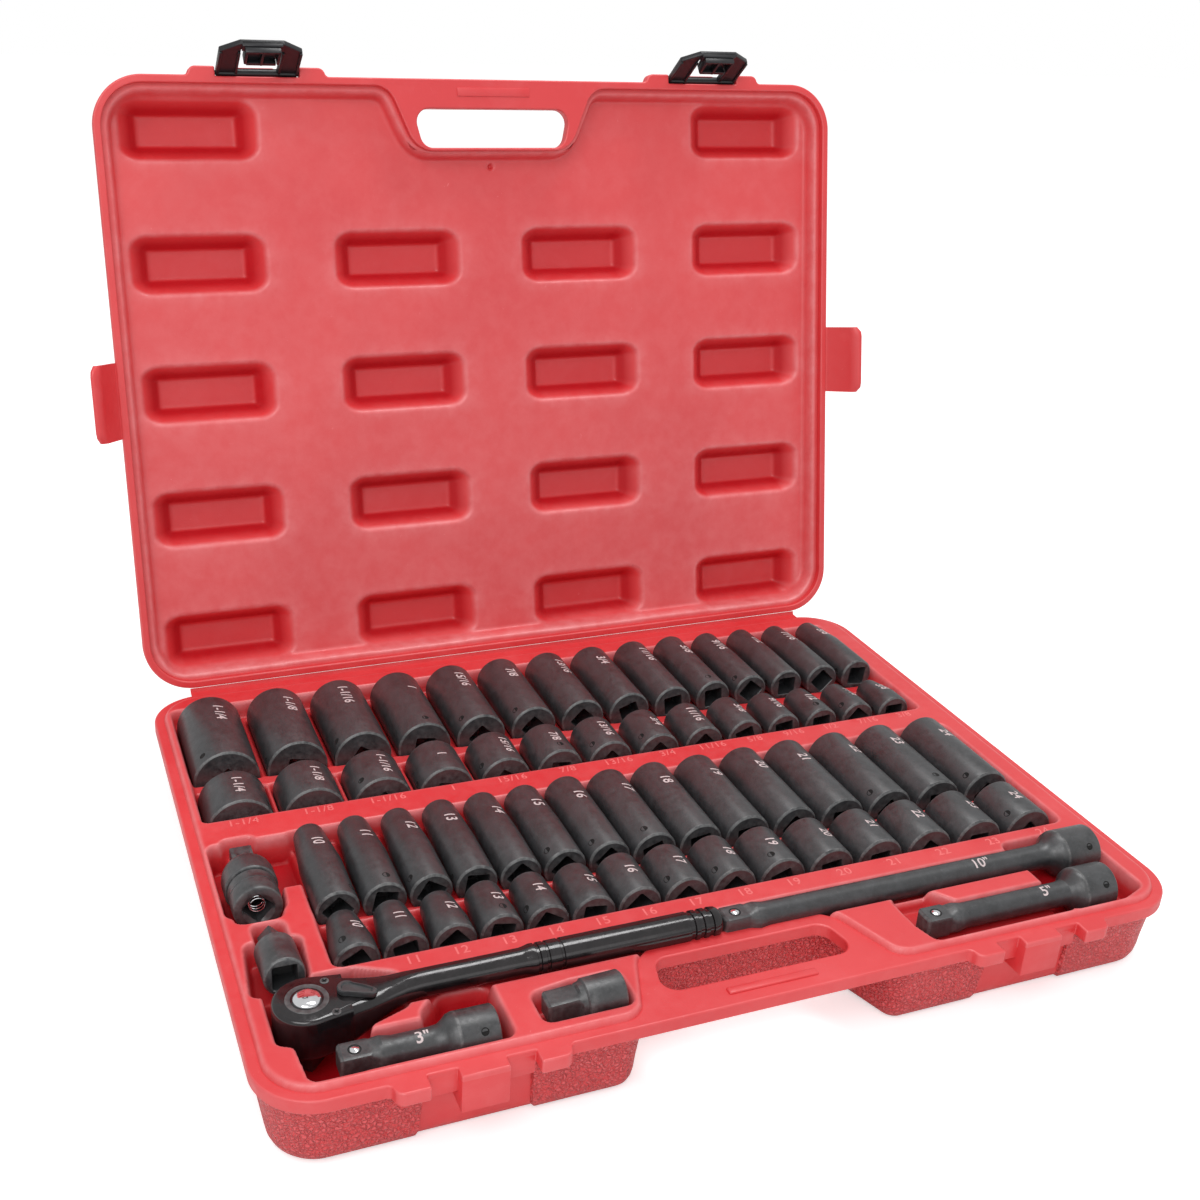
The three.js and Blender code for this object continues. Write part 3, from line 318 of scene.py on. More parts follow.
def outline(corners, inset=0.0, fineness=3):
    """Points of an anticlockwise outline with corners (x, y, radius), its sides moved inwards."""
    count = len(corners)
    pts = [np.array(c[:2], float) for c in corners]
    radii = [c[2] if len(c) > 2 else 0 for c in corners]
    along = [
        (pts[(i + 1) % count] - pts[i]) / np.linalg.norm(pts[(i + 1) % count] - pts[i]) for i in range(count)
    ]
    start = [pts[i] + inset * np.array([-along[i][1], along[i][0]]) for i in range(count)]
    out = []
    for i in range(count):
        before, after = along[i - 1], along[i]
        turn = before[0] * after[1] - before[1] * after[0]
        gap = start[i] - start[i - 1]
        reach = (gap[0] * after[1] - gap[1] * after[0]) / turn
        corner = start[i - 1] + before * reach
        if radii[i] == 0:
            out.append(corner)
            continue
        bend = abs(math.atan2(turn, before @ after))
        radius = max(radii[i] - math.copysign(inset, turn), 0.4)
        tangent = radius * math.tan(bend / 2)
        centre = corner - before * tangent + np.array([-before[1], before[0]]) * math.copysign(radius, turn)
        steps = max(3, int(math.sqrt(radii[i]) * fineness))
        first = math.atan2(*(corner - before * tangent - centre)[::-1])
        for k in range(steps + 1):
            angle = first + math.copysign(bend, turn) * k / steps
            out.append(centre + radius * np.array([math.cos(angle), math.sin(angle)]))
    return np.array(out)


def inside(x, y, pts):
    """Even-odd test of grid points against a polygon, on the polygon's own part of the grid."""
    hit = np.zeros(x.shape, bool)
    xs, ys = x[0], y[:, 0]
    i0, i1 = np.searchsorted(xs, pts[:, 0].min()), np.searchsorted(xs, pts[:, 0].max(), "right")
    j0, j1 = np.searchsorted(ys, pts[:, 1].min()), np.searchsorted(ys, pts[:, 1].max(), "right")
    px, py = x[j0:j1, i0:i1], y[j0:j1, i0:i1]
    part = np.zeros(px.shape, bool)
    for (ax, ay), (bx, by) in zip(pts, np.roll(pts, -1, 0)):
        if ay == by:
            continue
        part ^= ((ay > py) != (by > py)) & (px < (bx - ax) * (py - ay) / (by - ay) + ax)
    hit[j0:j1, i0:i1] = part
    return hit


def soften(h, sigma):
    """Blurs a height grid, which rounds every edge of it."""
    reach = int(math.ceil(3 * sigma))
    weights = np.exp(-0.5 * (np.arange(-reach, reach + 1) / sigma) ** 2)
    weights /= weights.sum()
    for axis in (0, 1):
        padded = np.pad(h, [(reach, reach) if a == axis else (0, 0) for a in (0, 1)], mode="edge")
        size = h.shape[axis]
        parts = [
            w * (padded[k:k + size] if axis == 0 else padded[:, k:k + size])
            for k, w in enumerate(weights)
        ]
        h = sum(parts)
    return h


def grid(left, right, front, rear, step=0.45):
    xs = np.arange(left, right + step / 2, step)
    ys = np.arange(front, rear + step / 2, step)
    return np.meshgrid(xs, ys)


def every_other(*grids):
    return [g[::2, ::2] for g in grids]


def relief(name, x, y, h, keep, body, wear_and_painted_light, place=None, flip=False):
    """A smooth red surface over a grid, where keep is true."""
    rows, cols = h.shape
    index = np.arange(rows * cols).reshape(rows, cols)
    quads = np.stack([index[:-1, :-1], index[:-1, 1:], index[1:, 1:], index[1:, :-1]], -1)
    quads = quads[keep[:-1, :-1] & keep[:-1, 1:] & keep[1:, 1:] & keep[1:, :-1]]
    if flip:
        quads = quads[:, ::-1]
    used, quads = np.unique(quads, return_inverse=True)
    quads = quads.reshape(-1, 4)
    verts = np.stack([x.ravel(), y.ravel(), h.ravel()], 1)[used]
    add_mesh(name, verts, quads.tolist(), [RED], body, place=place, sharp=180, wear_and_painted_light=wear_and_painted_light.ravel()[used])


def wear_and_painted_light_marks(h, sunk_from, sunk_to):
    """Marks of a height grid: edge wear above 0 along its convex edges, painted shade below 0 down in its
    hollows.
    """
    ridges = soften(np.clip((h - soften(h, 1.6)) * 1.8 - 0.05, 0, 0.6), 1.2)
    return ridges - np.clip((h - sunk_from) / (sunk_to - sunk_from), 0, 1)


def wall(loops, closed_top=False, closed_bottom=False, ring=False):
    """Faces through loops of points with equal counts, each (n, 3).

    In a ring the last loop meets the first.
    """
    count, rows = len(loops[0]), len(loops)
    faces = []
    for row in range(rows if ring else rows - 1):
        a, b = row * count, (row + 1) % rows * count
        faces += [(a + i, a + (i + 1) % count, b + (i + 1) % count, b + i) for i in range(count)]
    if closed_bottom:
        faces.append(tuple(range(count - 1, -1, -1)))
    if closed_top:
        faces.append(tuple(range((rows - 1) * count, rows * count)))
    return np.concatenate(loops), faces


def plate(name, outlines, low, high, round_edge, mats, body, place=None):
    """A flat plate with holes and rounded edges, from closed outlines; the first is the outside."""
    curve = bpy.data.curves.new(name, "CURVE")
    curve.dimensions = "2D"
    curve.fill_mode = "BOTH"
    curve.extrude = ((high - low) / 2 - round_edge) * 0.001
    curve.bevel_depth = round_edge * 0.001
    curve.bevel_resolution = 3
    curve.offset = -round_edge * 0.001
    for pts in outlines:
        spline = curve.splines.new("POLY")
        spline.points.add(len(pts) - 1)
        spline.points.foreach_set(
            "co", np.column_stack([pts * 0.001, np.zeros(len(pts)), np.ones(len(pts))]).ravel()
        )
        spline.use_cyclic_u = True
    source = bpy.data.objects.new(name + "_curve", curve)
    bpy.context.scene.collection.objects.link(source)
    bpy.context.view_layer.update()
    mesh = bpy.data.meshes.new_from_object(source)
    bpy.data.objects.remove(source)
    verts = np.zeros(len(mesh.vertices) * 3)
    mesh.vertices.foreach_get("co", verts)
    verts = verts.reshape(-1, 3) * 1000 + [0, 0, (low + high) / 2]
    faces = [tuple(p.vertices) for p in mesh.polygons]
    bpy.data.meshes.remove(mesh)
    add_mesh(name, verts, faces, mats, body, place=place, sharp=40, edge_wear=2.5)


def bevelled(parts, amount, segments=2):
    """Joins blocks given as (left, right, front, rear, low, high) and rounds their edges."""
    verts, faces = [], []
    for left, right, front, rear, low, high in parts:
        bm = bmesh.new()
        bmesh.ops.create_cube(bm, size=1.0)
        for v in bm.verts:
            v.co = Vector((
                left if v.co.x < 0 else right, front if v.co.y < 0 else rear, low if v.co.z < 0 else high))
        bmesh.ops.bevel(bm, geom=bm.edges[:], offset=amount, segments=segments, profile=0.5, affect="EDGES")
        bm.verts.index_update()
        first = len(verts)
        verts += [tuple(v.co) for v in bm.verts]
        faces += [tuple(first + v.index for v in f.verts) for f in bm.faces]
        bm.free()
    return verts, faces


def side_radius(theta, sides, apothem, turn=0.0):
    pitch = 2 * math.pi / sides
    return apothem / np.cos((theta - turn + pitch / 2) % pitch - pitch / 2)


def polar(rings, steps=48, closed=False):
    """Rings along +Y: (distance, radius or (sides, apothem, turn, largest radius), worn)."""
    theta = 2 * math.pi * np.arange(steps) / steps
    loops, wear_and_painted_light = [], []
    for along, radius, wear in rings:
        if isinstance(radius, tuple):
            sides, apothem, turn, largest = radius
            r = np.minimum(side_radius(theta, sides, apothem, turn), largest)
        else:
            r = np.full(steps, float(radius))
        loops.append(np.column_stack([r * np.sin(theta), np.full(steps, float(along)), r * np.cos(theta)]))
        wear_and_painted_light += [wear] * steps
    return *wall(loops, not closed, not closed, ring=closed), wear_and_painted_light


class Parts:
    """Collects loose shapes into the vertices and faces of one piece."""

    def __init__(self):
        self.verts, self.faces, self.mats, self.wear_and_painted_light = np.zeros((0, 3)), [], [], []

    def add(self, verts, faces, material=0, wear_and_painted_light=None, place=None):
        first = len(self.verts)
        self.verts = np.concatenate([self.verts, moved(verts, place)])
        self.faces += [tuple(first + i for i in f) for f in faces]
        self.mats += [material] * len(faces)
        self.wear_and_painted_light += list(wear_and_painted_light) if wear_and_painted_light is not None else [0.0] * len(verts)
        return self

    def turn(self, rings, steps=48, material=0, place=None, closed=False):
        """Adds rings along +Y, as polar takes them."""
        verts, faces, wear_and_painted_light = polar(rings, steps, closed)
        return self.add(verts, faces, material, wear_and_painted_light, place)

    def blocks(self, blocks, round_edge, segments=2, **more):
        return self.add(*bevelled(blocks, round_edge, segments), **more)

    def loops(self, loops, **more):
        return self.add(*wall(loops, True, True), **more)

    def pin_holes(self, body_radius, along, hole_radius, turns, material):
        """Dark discs wrapped on a barrel where a cross hole comes out: painted shade, not a cut hole."""
        radius = body_radius + 0.04
        for turn in turns:
            disc = [
                hole_radius * np.array([math.cos(a), math.sin(a)])
                for a in 2 * math.pi * np.arange(14) / 14
            ]
            pts = [
                (
                    radius * math.sin(turn + u / body_radius), along + v,
                    radius * math.cos(turn + u / body_radius),
                )
                for u, v in disc
            ]
            self.add(pts, [tuple(range(14))], material)

    def piece(self, name, mats, body, **more):
        add_mesh(name, self.verts, self.faces, mats, body, wear_and_painted_light=self.wear_and_painted_light, face_mats=self.mats, **more)


def lettering(text, height, spacing=1.0, slices=0.0):
    """Flat text, centred, as points (n, 2) and faces, cut level every slices.

    Its capitals have the given height.
    """
    curve = bpy.data.curves.new("text", "FONT")
    curve.body = text
    curve.size = height / 0.69
    curve.space_character = spacing
    curve.resolution_u = 3
    curve.offset = height * 0.022
    source = bpy.data.objects.new("text", curve)
    bpy.context.scene.collection.objects.link(source)
    bpy.context.view_layer.update()
    mesh = bpy.data.meshes.new_from_object(source)
    bpy.data.objects.remove(source)
    bm = bmesh.new()
    bm.from_mesh(mesh)
    bpy.data.meshes.remove(mesh)
    for k in range(int(height * 1.4 / slices) if slices else 0):
        geometry = bm.verts[:] + bm.edges[:] + bm.faces[:]
        bmesh.ops.bisect_plane(bm, geom=geometry, plane_co=(0, (k - 1) * slices, 0), plane_no=(0, 1, 0))
    bm.verts.index_update()
    pts = np.array([v.co[:2] for v in bm.verts])
    faces = [tuple(v.index for v in f.verts) for f in bm.faces]
    bm.free()
    return pts - (pts.max(0) + pts.min(0)) / 2, faces


def on_barrel(text, height, radius, along, angle, lift=0.07, tilt=0.0, flip=False):
    """Text that reads along a barrel lying on Y and wraps round it.

    It is cut in strips so that it follows the curve.
    """
    pts, faces = lettering(text, height, slices=0.7)
    way = -1 if flip else 1
    y = along - way * pts[:, 0]
    turn = angle + way * pts[:, 1] / radius
    r = radius + lift + (y - along) * tilt
    return np.column_stack([r * np.sin(turn), y, r * np.cos(turn)]), faces


# ---------------- the case

TURN_LID = at(0, *HINGE) @ turned(-LID_OPEN, "X") @ at(0, -HINGE[0], -HINGE[1])
LID_REAR = 205.4  # the lid's rim reaches the hinge bead
HANDLE_HOLE = [(-58.5, -181.5, 9), (57.5, -181.5, 9), (51.5, -155.7, 9), (-52, -155.7, 9)]


def mirrored(left):
    """The corners of a left half and of its mirror image, from left to right."""
    return left + [(-x, y, radius) for x, y, radius in reversed(left)]


def shell_outline(recess, panel=0.0, rear=HALF_DEPTH):
    """Plan of the outer walls; panel is how far they are set back under the latches."""
    side, front, back, corner = HALF_WIDTH - 4, -HALF_DEPTH + 4, rear - 4, CORNER - 4
    cx = LATCH_X[0]
    set_back = [
        (cx - 27.5, front, 0), (cx - 26.6, front + panel, 0),
        (cx + 26.6, front + panel, 0), (cx + 27.5, front, 0),
    ] if panel else []
    left = [(-side, front, corner), *set_back, (-75.5, front, 15), (-59.5, recess, 8)]
    return mirrored(left) + [(side, back, corner), (-side, back, corner)]


def tray_outline(behind, back=HALF_DEPTH):
    left = [(-HALF_WIDTH, -HALF_DEPTH, CORNER), (-71.6, -HALF_DEPTH, 20), (-53.4, -156.5 + behind, 14)]
    return mirrored(left) + [(HALF_WIDTH, back, CORNER), (-HALF_WIDTH, back, CORNER)]


def base_heights(x, y):
    """Height of the tray above the parting plane."""
    h = np.full(x.shape, -2.0)
    h[inside(x, y, outline(tray_outline(5), 6.4))] = TRAY_RISE

    def sink(corners, floor, radius=4.0):
        hit = inside(x, y, outline([(cx, cy, radius) for cx, cy in corners]))
        h[hit] = np.minimum(h[hit], floor)

    def well(left, right, front, rear, floor, radius=4.0):
        sink([(left, front), (right, front), (right, rear), (left, rear)], floor, radius)

    for row, sockets in ((INCH, INCH_SOCKETS), (METRIC, METRIC_SOCKETS)):
        well(row["left"], row["right"], row["front"], row["rear"], DIVIDER_TOP, 6)
        well(row["left"], row["right"], row["front"], row["shallow"] + SHALLOW_LENGTH + 0.6, RIB_TOP)
        well(row["left"], row["right"], row["deep"] - 0.6, row["rear"], RIB_TOP)
        deep, shallow = (row["top"], row["deep"], DEEP_LENGTH), (SHALLOW_TOP, row["shallow"], SHALLOW_LENGTH)
        for s in sockets:
            for top, front, length in (deep, shallow):
                radius = s["drive"] + 0.4
                axis = top - s["drive"]
                near = (np.abs(x - s["x"]) < radius) & (y > front - 0.8) & (y < front + length + 0.8)
                groove = axis - np.sqrt(np.maximum(radius ** 2 - (x - s["x"]) ** 2, 0))
                h[near] = np.minimum(h[near], groove[near])

    # ratchet
    sink([(-252, -160), (-244, -164), (-242, -189), (-216, -189), (-208, -160), (-186, -152), (-186, -128),
          (-206, -118), (-252, -118)], -31.5)
    sink([(-212, -150), (-3, -150), (-3, -131.5), (-188, -131.5), (-212, -122)], -4.7)
    # 3 inch extension and the finger hollow beside it
    well(-236, -166, -189, -166, -15.8)
    sink([(-186, -189), (-143, -189), (-143, -144), (-166, -144), (-180, -160)], -15.8)
    # front adapter
    sink([(-124.5, -185.5), (-77, -185.5), (-77, -162), (-104, -162), (-124.5, -165)], -9.9)
    # 10 inch extension
    well(-8, 196.5, -150.2, -131.5, -7.7)
    sink([(194.5, -190), (231, -190), (247.5, -184), (247.5, -125.5), (194.5, -125.5)], -12.9)
    # 5 inch extension
    sink([
        (98, -151.5), (98.7, -176), (102.5, -190), (196, -190), (196, -165.6), (133, -165.6), (122, -151.5),
    ], -8.9)
    sink([(194.5, -190), (231, -190), (247.5, -184), (247.5, -158), (194.5, -158)], -13.8)
    # universal joint
    well(-251, -232, -6, 15, -9)
    well(-258.5, -211, -37, 11, -16.1)
    sink([(-258.5, -58), (-228, -58), (-226, -30), (-258.5, -30)], -16.1, 6)
    well(-255, -230, -63.5, -54, -5)
    # left adapter
    well(-248, -232, -92, -68, -11)
    sink([(-258, -124), (-229, -124), (-226, -83), (-254, -83)], -10.9)
    return h


def tray():
    x, y = grid(-266, 266, -198, 198)
    h = soften(base_heights(x, y), 2.0)
    # painted shade in the wells, starting 3 mm down and full at 14 mm, with edge wear along the ridges
    x, y, h, wear_and_painted_light = every_other(x, y, h, wear_and_painted_light_marks(h, -3, -14))
    keep = inside(x, y, outline(tray_outline(5), 4.6))
    relief("case_base_tray", x, y, h + BASE, keep, "case", wear_and_painted_light)


def shell(name, corners, levels, body, low=0, place=None, flip=False, replaces=()):
    """Outer walls through levels of (inset, height above low), closed at their far end.

    The latch panels are smooth.
    """
    loops = [level(outline(corners, inset, 5), low + z) for inset, z in levels]
    verts, faces = wall(loops, closed_bottom=not flip, closed_top=flip)
    index = []
    for face in faces:
        middle = verts[list(face)].mean(0)
        panel = not flip and middle[1] < -170 and any(abs(middle[0] - cx) < 27.0 for cx in LATCH_X)
        index.append(1 if panel else 0)
    add_mesh(
        name, verts, faces, [RED_GRAIN, RED], body,
        place=place, sharp=50, face_mats=index, replaces=replaces,
    )


BASE_LEVELS = [
    (12.5, 0), (9.6, 0.5), (7.0, 1.9), (5.0, 4.2), (3.7, 7.2),
    (3.0, 11), (2.5, 18), (1.4, 28), (0.3, 38), (0.0, 42),
]
LID_LEVELS = [(0.0, 6), (0.3, 10), (1.2, 19), (2.0, 25.5), (3.2, 29.5), (5.4, 33), (8.2, 35.3), (12, 36)]


def front_edge(ear_reach, catch_reach, rear=HALF_DEPTH):
    """The flange's outline with an ear on each side of the latches, and the catches where there are any."""
    notch = -HALF_DEPTH + (1.2 if catch_reach else 0.65)
    ear = [(45.5, -HALF_DEPTH, 3), (43.5, -ear_reach, 5), (27.5, -ear_reach, 1.2), (27.5, notch, 0.8)]
    if catch_reach:
        ear += [(12.3, notch, 0.8), (12.3, -catch_reach, 1.0)]
    left = [(-HALF_WIDTH, -HALF_DEPTH, CORNER)]
    left += [(LATCH_X[0] - far, y, radius) for far, y, radius in ear]
    left += [(LATCH_X[0] + far, y, radius) for far, y, radius in reversed(ear)]
    return mirrored(left) + [(HALF_WIDTH, rear, CORNER), (-HALF_WIDTH, rear, CORNER)]


def front_fittings():
    """Catches and panels under the latches, and the bar on the grip."""
    parts = Parts()
    for cx in LATCH_X:
        blocks = [
            (cx - 12.33, cx + 12.33, -206.43, -192, BASE - 22.4, BASE - 2.2),
            (cx - 27.6, cx + 27.6, -199.85, -191, BASE - 14.5, BASE - 2.2),
        ]
        parts.blocks(blocks, 0.9)
    parts.blocks([(-26.5, 26.5, -193.4, -188.4, BASE - 1, BASE + 1.1)], 0.9, 3)
    parts.piece("case_base_fittings", [RED], "case", sharp=40)


def hinge_bead():
    angles = [math.radians(-60 + 30 * k) for k in range(6)]
    bead = [(HINGE[0] + 1.2 * math.cos(a), HINGE[1] + 1.2 * math.sin(a)) for a in angles]
    section = [
        (196, BASE - 1.7), (206.8, BASE - 1.7), *bead, (HINGE[0] - 0.9, BASE - 0.05), (196, BASE - 0.05),
    ]
    loops = [np.array([(px, sy, sz) for sy, sz in section]) for px in np.linspace(-240, 240, 25)]
    add_mesh("case_base_hinge", *wall(loops, True, True), [RED], "case", sharp=40)


def strip_numbers():
    parts = Parts()
    for row, sockets, y in ((INCH, INCH_SOCKETS, 31.5), (METRIC, METRIC_SOCKETS, -120.5)):
        for s in sockets:
            if s["label"] == "10":
                continue
            pts, faces = lettering(s["label"], 6.0 if row is METRIC else 5.6, 1.1)
            parts.add(level(pts + (s["x"], y), BASE + TRAY_RISE + 0.06), faces)
    parts.piece("case_base_numbers", [RED_LETTER], "case")


def rim(name, edge, tray, inset, low, body, place=None):
    """A half's flange: a flat band between its edge and the tray, with the handle hole."""
    outlines = [outline(edge, 0, 5), outline(tray, inset), outline(HANDLE_HOLE)]
    plate(name, outlines, low, low + 8, 1.1, [RED], body, place=place)


def case_base():
    rim("case_base_rim", front_edge(208.4, 206.4), tray_outline(5), 6.6, BASE - 8, "case")
    tray()
    shell("case_base_shell", shell_outline(-152, 2.0), BASE_LEVELS, "case", replaces=("case_base",))
    front_fittings()
    hinge_bead()
    strip_numbers()


def rounded_box(x, y, width, height, radius):
    """Signed distance to a rounded rectangle about the origin."""
    qx = np.abs(x) - width / 2 + radius
    qy = np.abs(y) - height / 2 + radius
    return np.hypot(np.maximum(qx, 0), np.maximum(qy, 0)) + np.minimum(np.maximum(qx, qy), 0) - radius


FIELD = 15.5  # depth of the lid's flat field
POCKET_COLUMNS = (-207.6, -70, 67.8, 205.6)
POCKET_ROWS = (175.7, 89, 3.8, -82, -168.3)
POCKET_HALF, POCKET_HEIGHT, POCKET_DEPTH = 44, 36.5, 15.5
END_SLOPE, SIDE_SLOPE = 12.0, 8.6  # how far the walls run in
ROLL = 1.6  # of the rounded lip outside them


def lid_inside():
    x, y = grid(-266, 266, -198, LID_REAR - 3)
    h = np.full(x.shape, 5.0)
    h[inside(x, y, outline(tray_outline(-4.4, LID_REAR), 10.5))] = FIELD
    h = soften(h, 1.6)
    painted_highlight_ring = np.zeros(x.shape)
    straight = POCKET_HALF - END_SLOPE
    for column, cx in enumerate(POCKET_COLUMNS):
        for cy in POCKET_ROWS:
            if column in (1, 2) and cy < -100:
                continue
            far = np.maximum(np.abs(x - cx) - straight, 0)
            squeezed = np.minimum(np.abs(x - cx), straight) + far * (SIDE_SLOPE / END_SLOPE)
            d = rounded_box(squeezed, y - cy, 2 * (straight + SIDE_SLOPE), POCKET_HEIGHT, 9)
            slope = np.clip((ROLL - d) / (SIDE_SLOPE + ROLL), 0, 1)
            h = np.where(d < ROLL, np.maximum(h, FIELD + POCKET_DEPTH * slope ** 1.05), h)
            # a pale ring round each pocket mouth: painted highlight
            painted_highlight_ring = np.maximum(painted_highlight_ring, 0.16 * np.exp(-(np.maximum(d, 0) / 7) ** 2))
    h = np.where(rounded_box(x, y + 191.5, 52, 5, 1.5) < 0, h - 0.9, h)
    h = np.where(np.hypot(x - 1, y + 144) < 1.4, h + 5, h)  # where the blowing needle went in
    h = soften(h, 2.0)
    # painted shade in the pockets, strongest on their walls and weaker on their floors
    painted_hollow_shade = np.clip((h - FIELD - 1) / 9, 0, 1) * (1 - 0.45 * np.clip((h - FIELD - 13.5) / 1.5, 0, 1))
    ridges = soften(np.clip((soften(h, 1.6) - h) * 1.8 - 0.05, 0, 0.5), 1.2)
    # edge wear on the ridges; painted light as a pale lift over the field that grows towards the hinge end
    # and round the pocket mouths; painted shade inside the pockets
    wear_and_painted_light = ridges + (0.08 + (y + 200) / 2500 + soften(painted_highlight_ring, 3)) * (1 - painted_hollow_shade) - painted_hollow_shade * 0.9
    x, y, h, wear_and_painted_light = every_other(x, y, h, wear_and_painted_light)
    keep = inside(x, y, outline(tray_outline(-2, LID_REAR), 3.5))
    relief("case_lid_inside", x, y, h + LID_LOW, keep, "lid", wear_and_painted_light, TURN_LID, flip=True)


def side_tab(side):
    section = [
        (-3, -5), (2, -5), (13, 15.5), (14.5, 18), (17.2, 20.5), (18, 21.6), (17.6, 22.6),
        (16.6, 23), (14.5, 22.2), (12, 20.2), (10.6, 17.5), (1, 0.2), (0.2, -0.6), (-3, -0.8),
    ]
    loops = []
    for k, along in enumerate(np.linspace(-25, 25, 15)):
        tuck = 1.0 if k in (0, 14) else (0.35 if k in (1, 13) else 0)
        pts = []
        for out, drop in section:
            far = max(0, out / 18)
            round_off = 3.0 * far * max(0, abs(along) - 21) / 4
            px = HALF_WIDTH + out - tuck * 0.6 * far - round_off * 0.6
            pts.append((side * px, 4.8 + along, LID_LOW - drop + round_off))
        loops.append(np.array(pts))
    verts, faces = wall(loops, True, True)
    if side > 0:
        faces = [f[::-1] for f in faces]
    add_mesh(
        "case_lid_tab_" + ("left" if side < 0 else "right"), verts, faces, [RED], "lid",
        place=TURN_LID, sharp=45,
    )


def lid_fittings():
    parts = Parts()
    for cx in LATCH_X:
        parts.blocks([(cx - 12, cx + 12, -206.6, -194, LID_LOW + 7.1, LID_LOW + 9)], 0.6)
    # the outlined bar between the handle hole and the front edge
    parts.blocks([(-26.5, 26.5, -195.4, -189.6, LID_LOW - 0.7, LID_LOW + 1)], 0.5)
    parts.piece("case_lid_fittings", [RED], "lid", place=TURN_LID, sharp=40)


def case_lid():
    rim(
        "case_lid_rim", front_edge(206.6, 0, LID_REAR), tray_outline(-2, LID_REAR), 5, LID_LOW,
        "lid", TURN_LID,
    )
    lid_inside()
    walls = shell_outline(-154.5, rear=LID_REAR)
    shell("case_lid_shell", walls, LID_LEVELS, "lid", LID_LOW, TURN_LID, flip=True, replaces=("case_lid",))
    side_tab(-1)
    side_tab(1)
    lid_fittings()


# ---------------- latches


def latch(side, cx):
    place = TURN_LID @ at(cx, -202.9, LID_LOW + 4) @ turned(-LATCH_SWING, "X")
    body = "latch_" + side
    half, window, length, shoulder = 26.7, 13.0, 33.0, 25.0
    # the frame: outline with its window, drawn in x and the distance hanging down
    outer = [
        (-half, 0, 1), (-half, -shoulder, 1.2), (-window - 1, -length, 1.2),
        (window + 1, -length, 1.2), (half, -shoulder, 1.2), (half, 0, 1),
    ]
    hole = [(-window, -1, 1.5), (-window, -27.6, 1.5), (window, -27.6, 1.5), (window, -1, 1.5)]
    outlines = [outline(outer, 0, 2), outline(hole, 0, 2)]
    hanging = place @ at(0, -0.6, 0) @ TO_Z
    plate(body + "_frame", outlines, -1.8, 1.8, 0.7, [BLACK_PLASTIC], body, place=hanging)
    # legs are channels: raised edges on the inner face
    parts = Parts()
    legs = (
        (-window - 2.0, -window - 0.2), (-half, -half + 1.8),
        (window + 0.2, window + 2.0), (half - 1.8, half),
    )
    for left, right in legs:
        parts.blocks([(left, right, 0.8, 2.4, -24.5, -2)], 0.4)
    # the hook hangs into the window as a pad with two hollows
    parts.blocks([
        (-window, window, -1.4, 2.6, -33, -27.2), (-11.4, 11.4, -0.6, 2.4, -28, -19),
        (-9.6, 9.6, -0.6, 2.4, -20, -16.2), (-11.4, -9.6, 1.8, 6.6, -31, -19),
        (9.6, 11.4, 1.8, 6.6, -31, -19), (-0.9, 0.9, 1.8, 6.2, -30, -17),
        (-11.4, 11.4, 1.8, 6.6, -32.2, -30.4), (-9.6, 9.6, 1.8, 5.6, -19.2, -16.4),
    ], 0.45)
    bar = [(-half, 1.6, 0), (-half + 0.6, 2.4, 0), (half - 0.6, 2.4, 0), (half, 1.6, 0)]
    parts.turn(bar, 20, place=TO_X).turn([(-half - 3.6, 1.5, 0), (half + 3.6, 1.5, 0)], 16, place=TO_X)
    parts.piece(body + "_parts", [BLACK_PLASTIC], body, place=place, sharp=40, replaces=(body,))


# ---------------- sockets

SQUARE = 6.5
ROLLS = (0, 45, 30, -40, 8, 45, -5, 45, 38, -30, 12, 45, -20, 40, 5, 45, -12, 33, 45, -8)


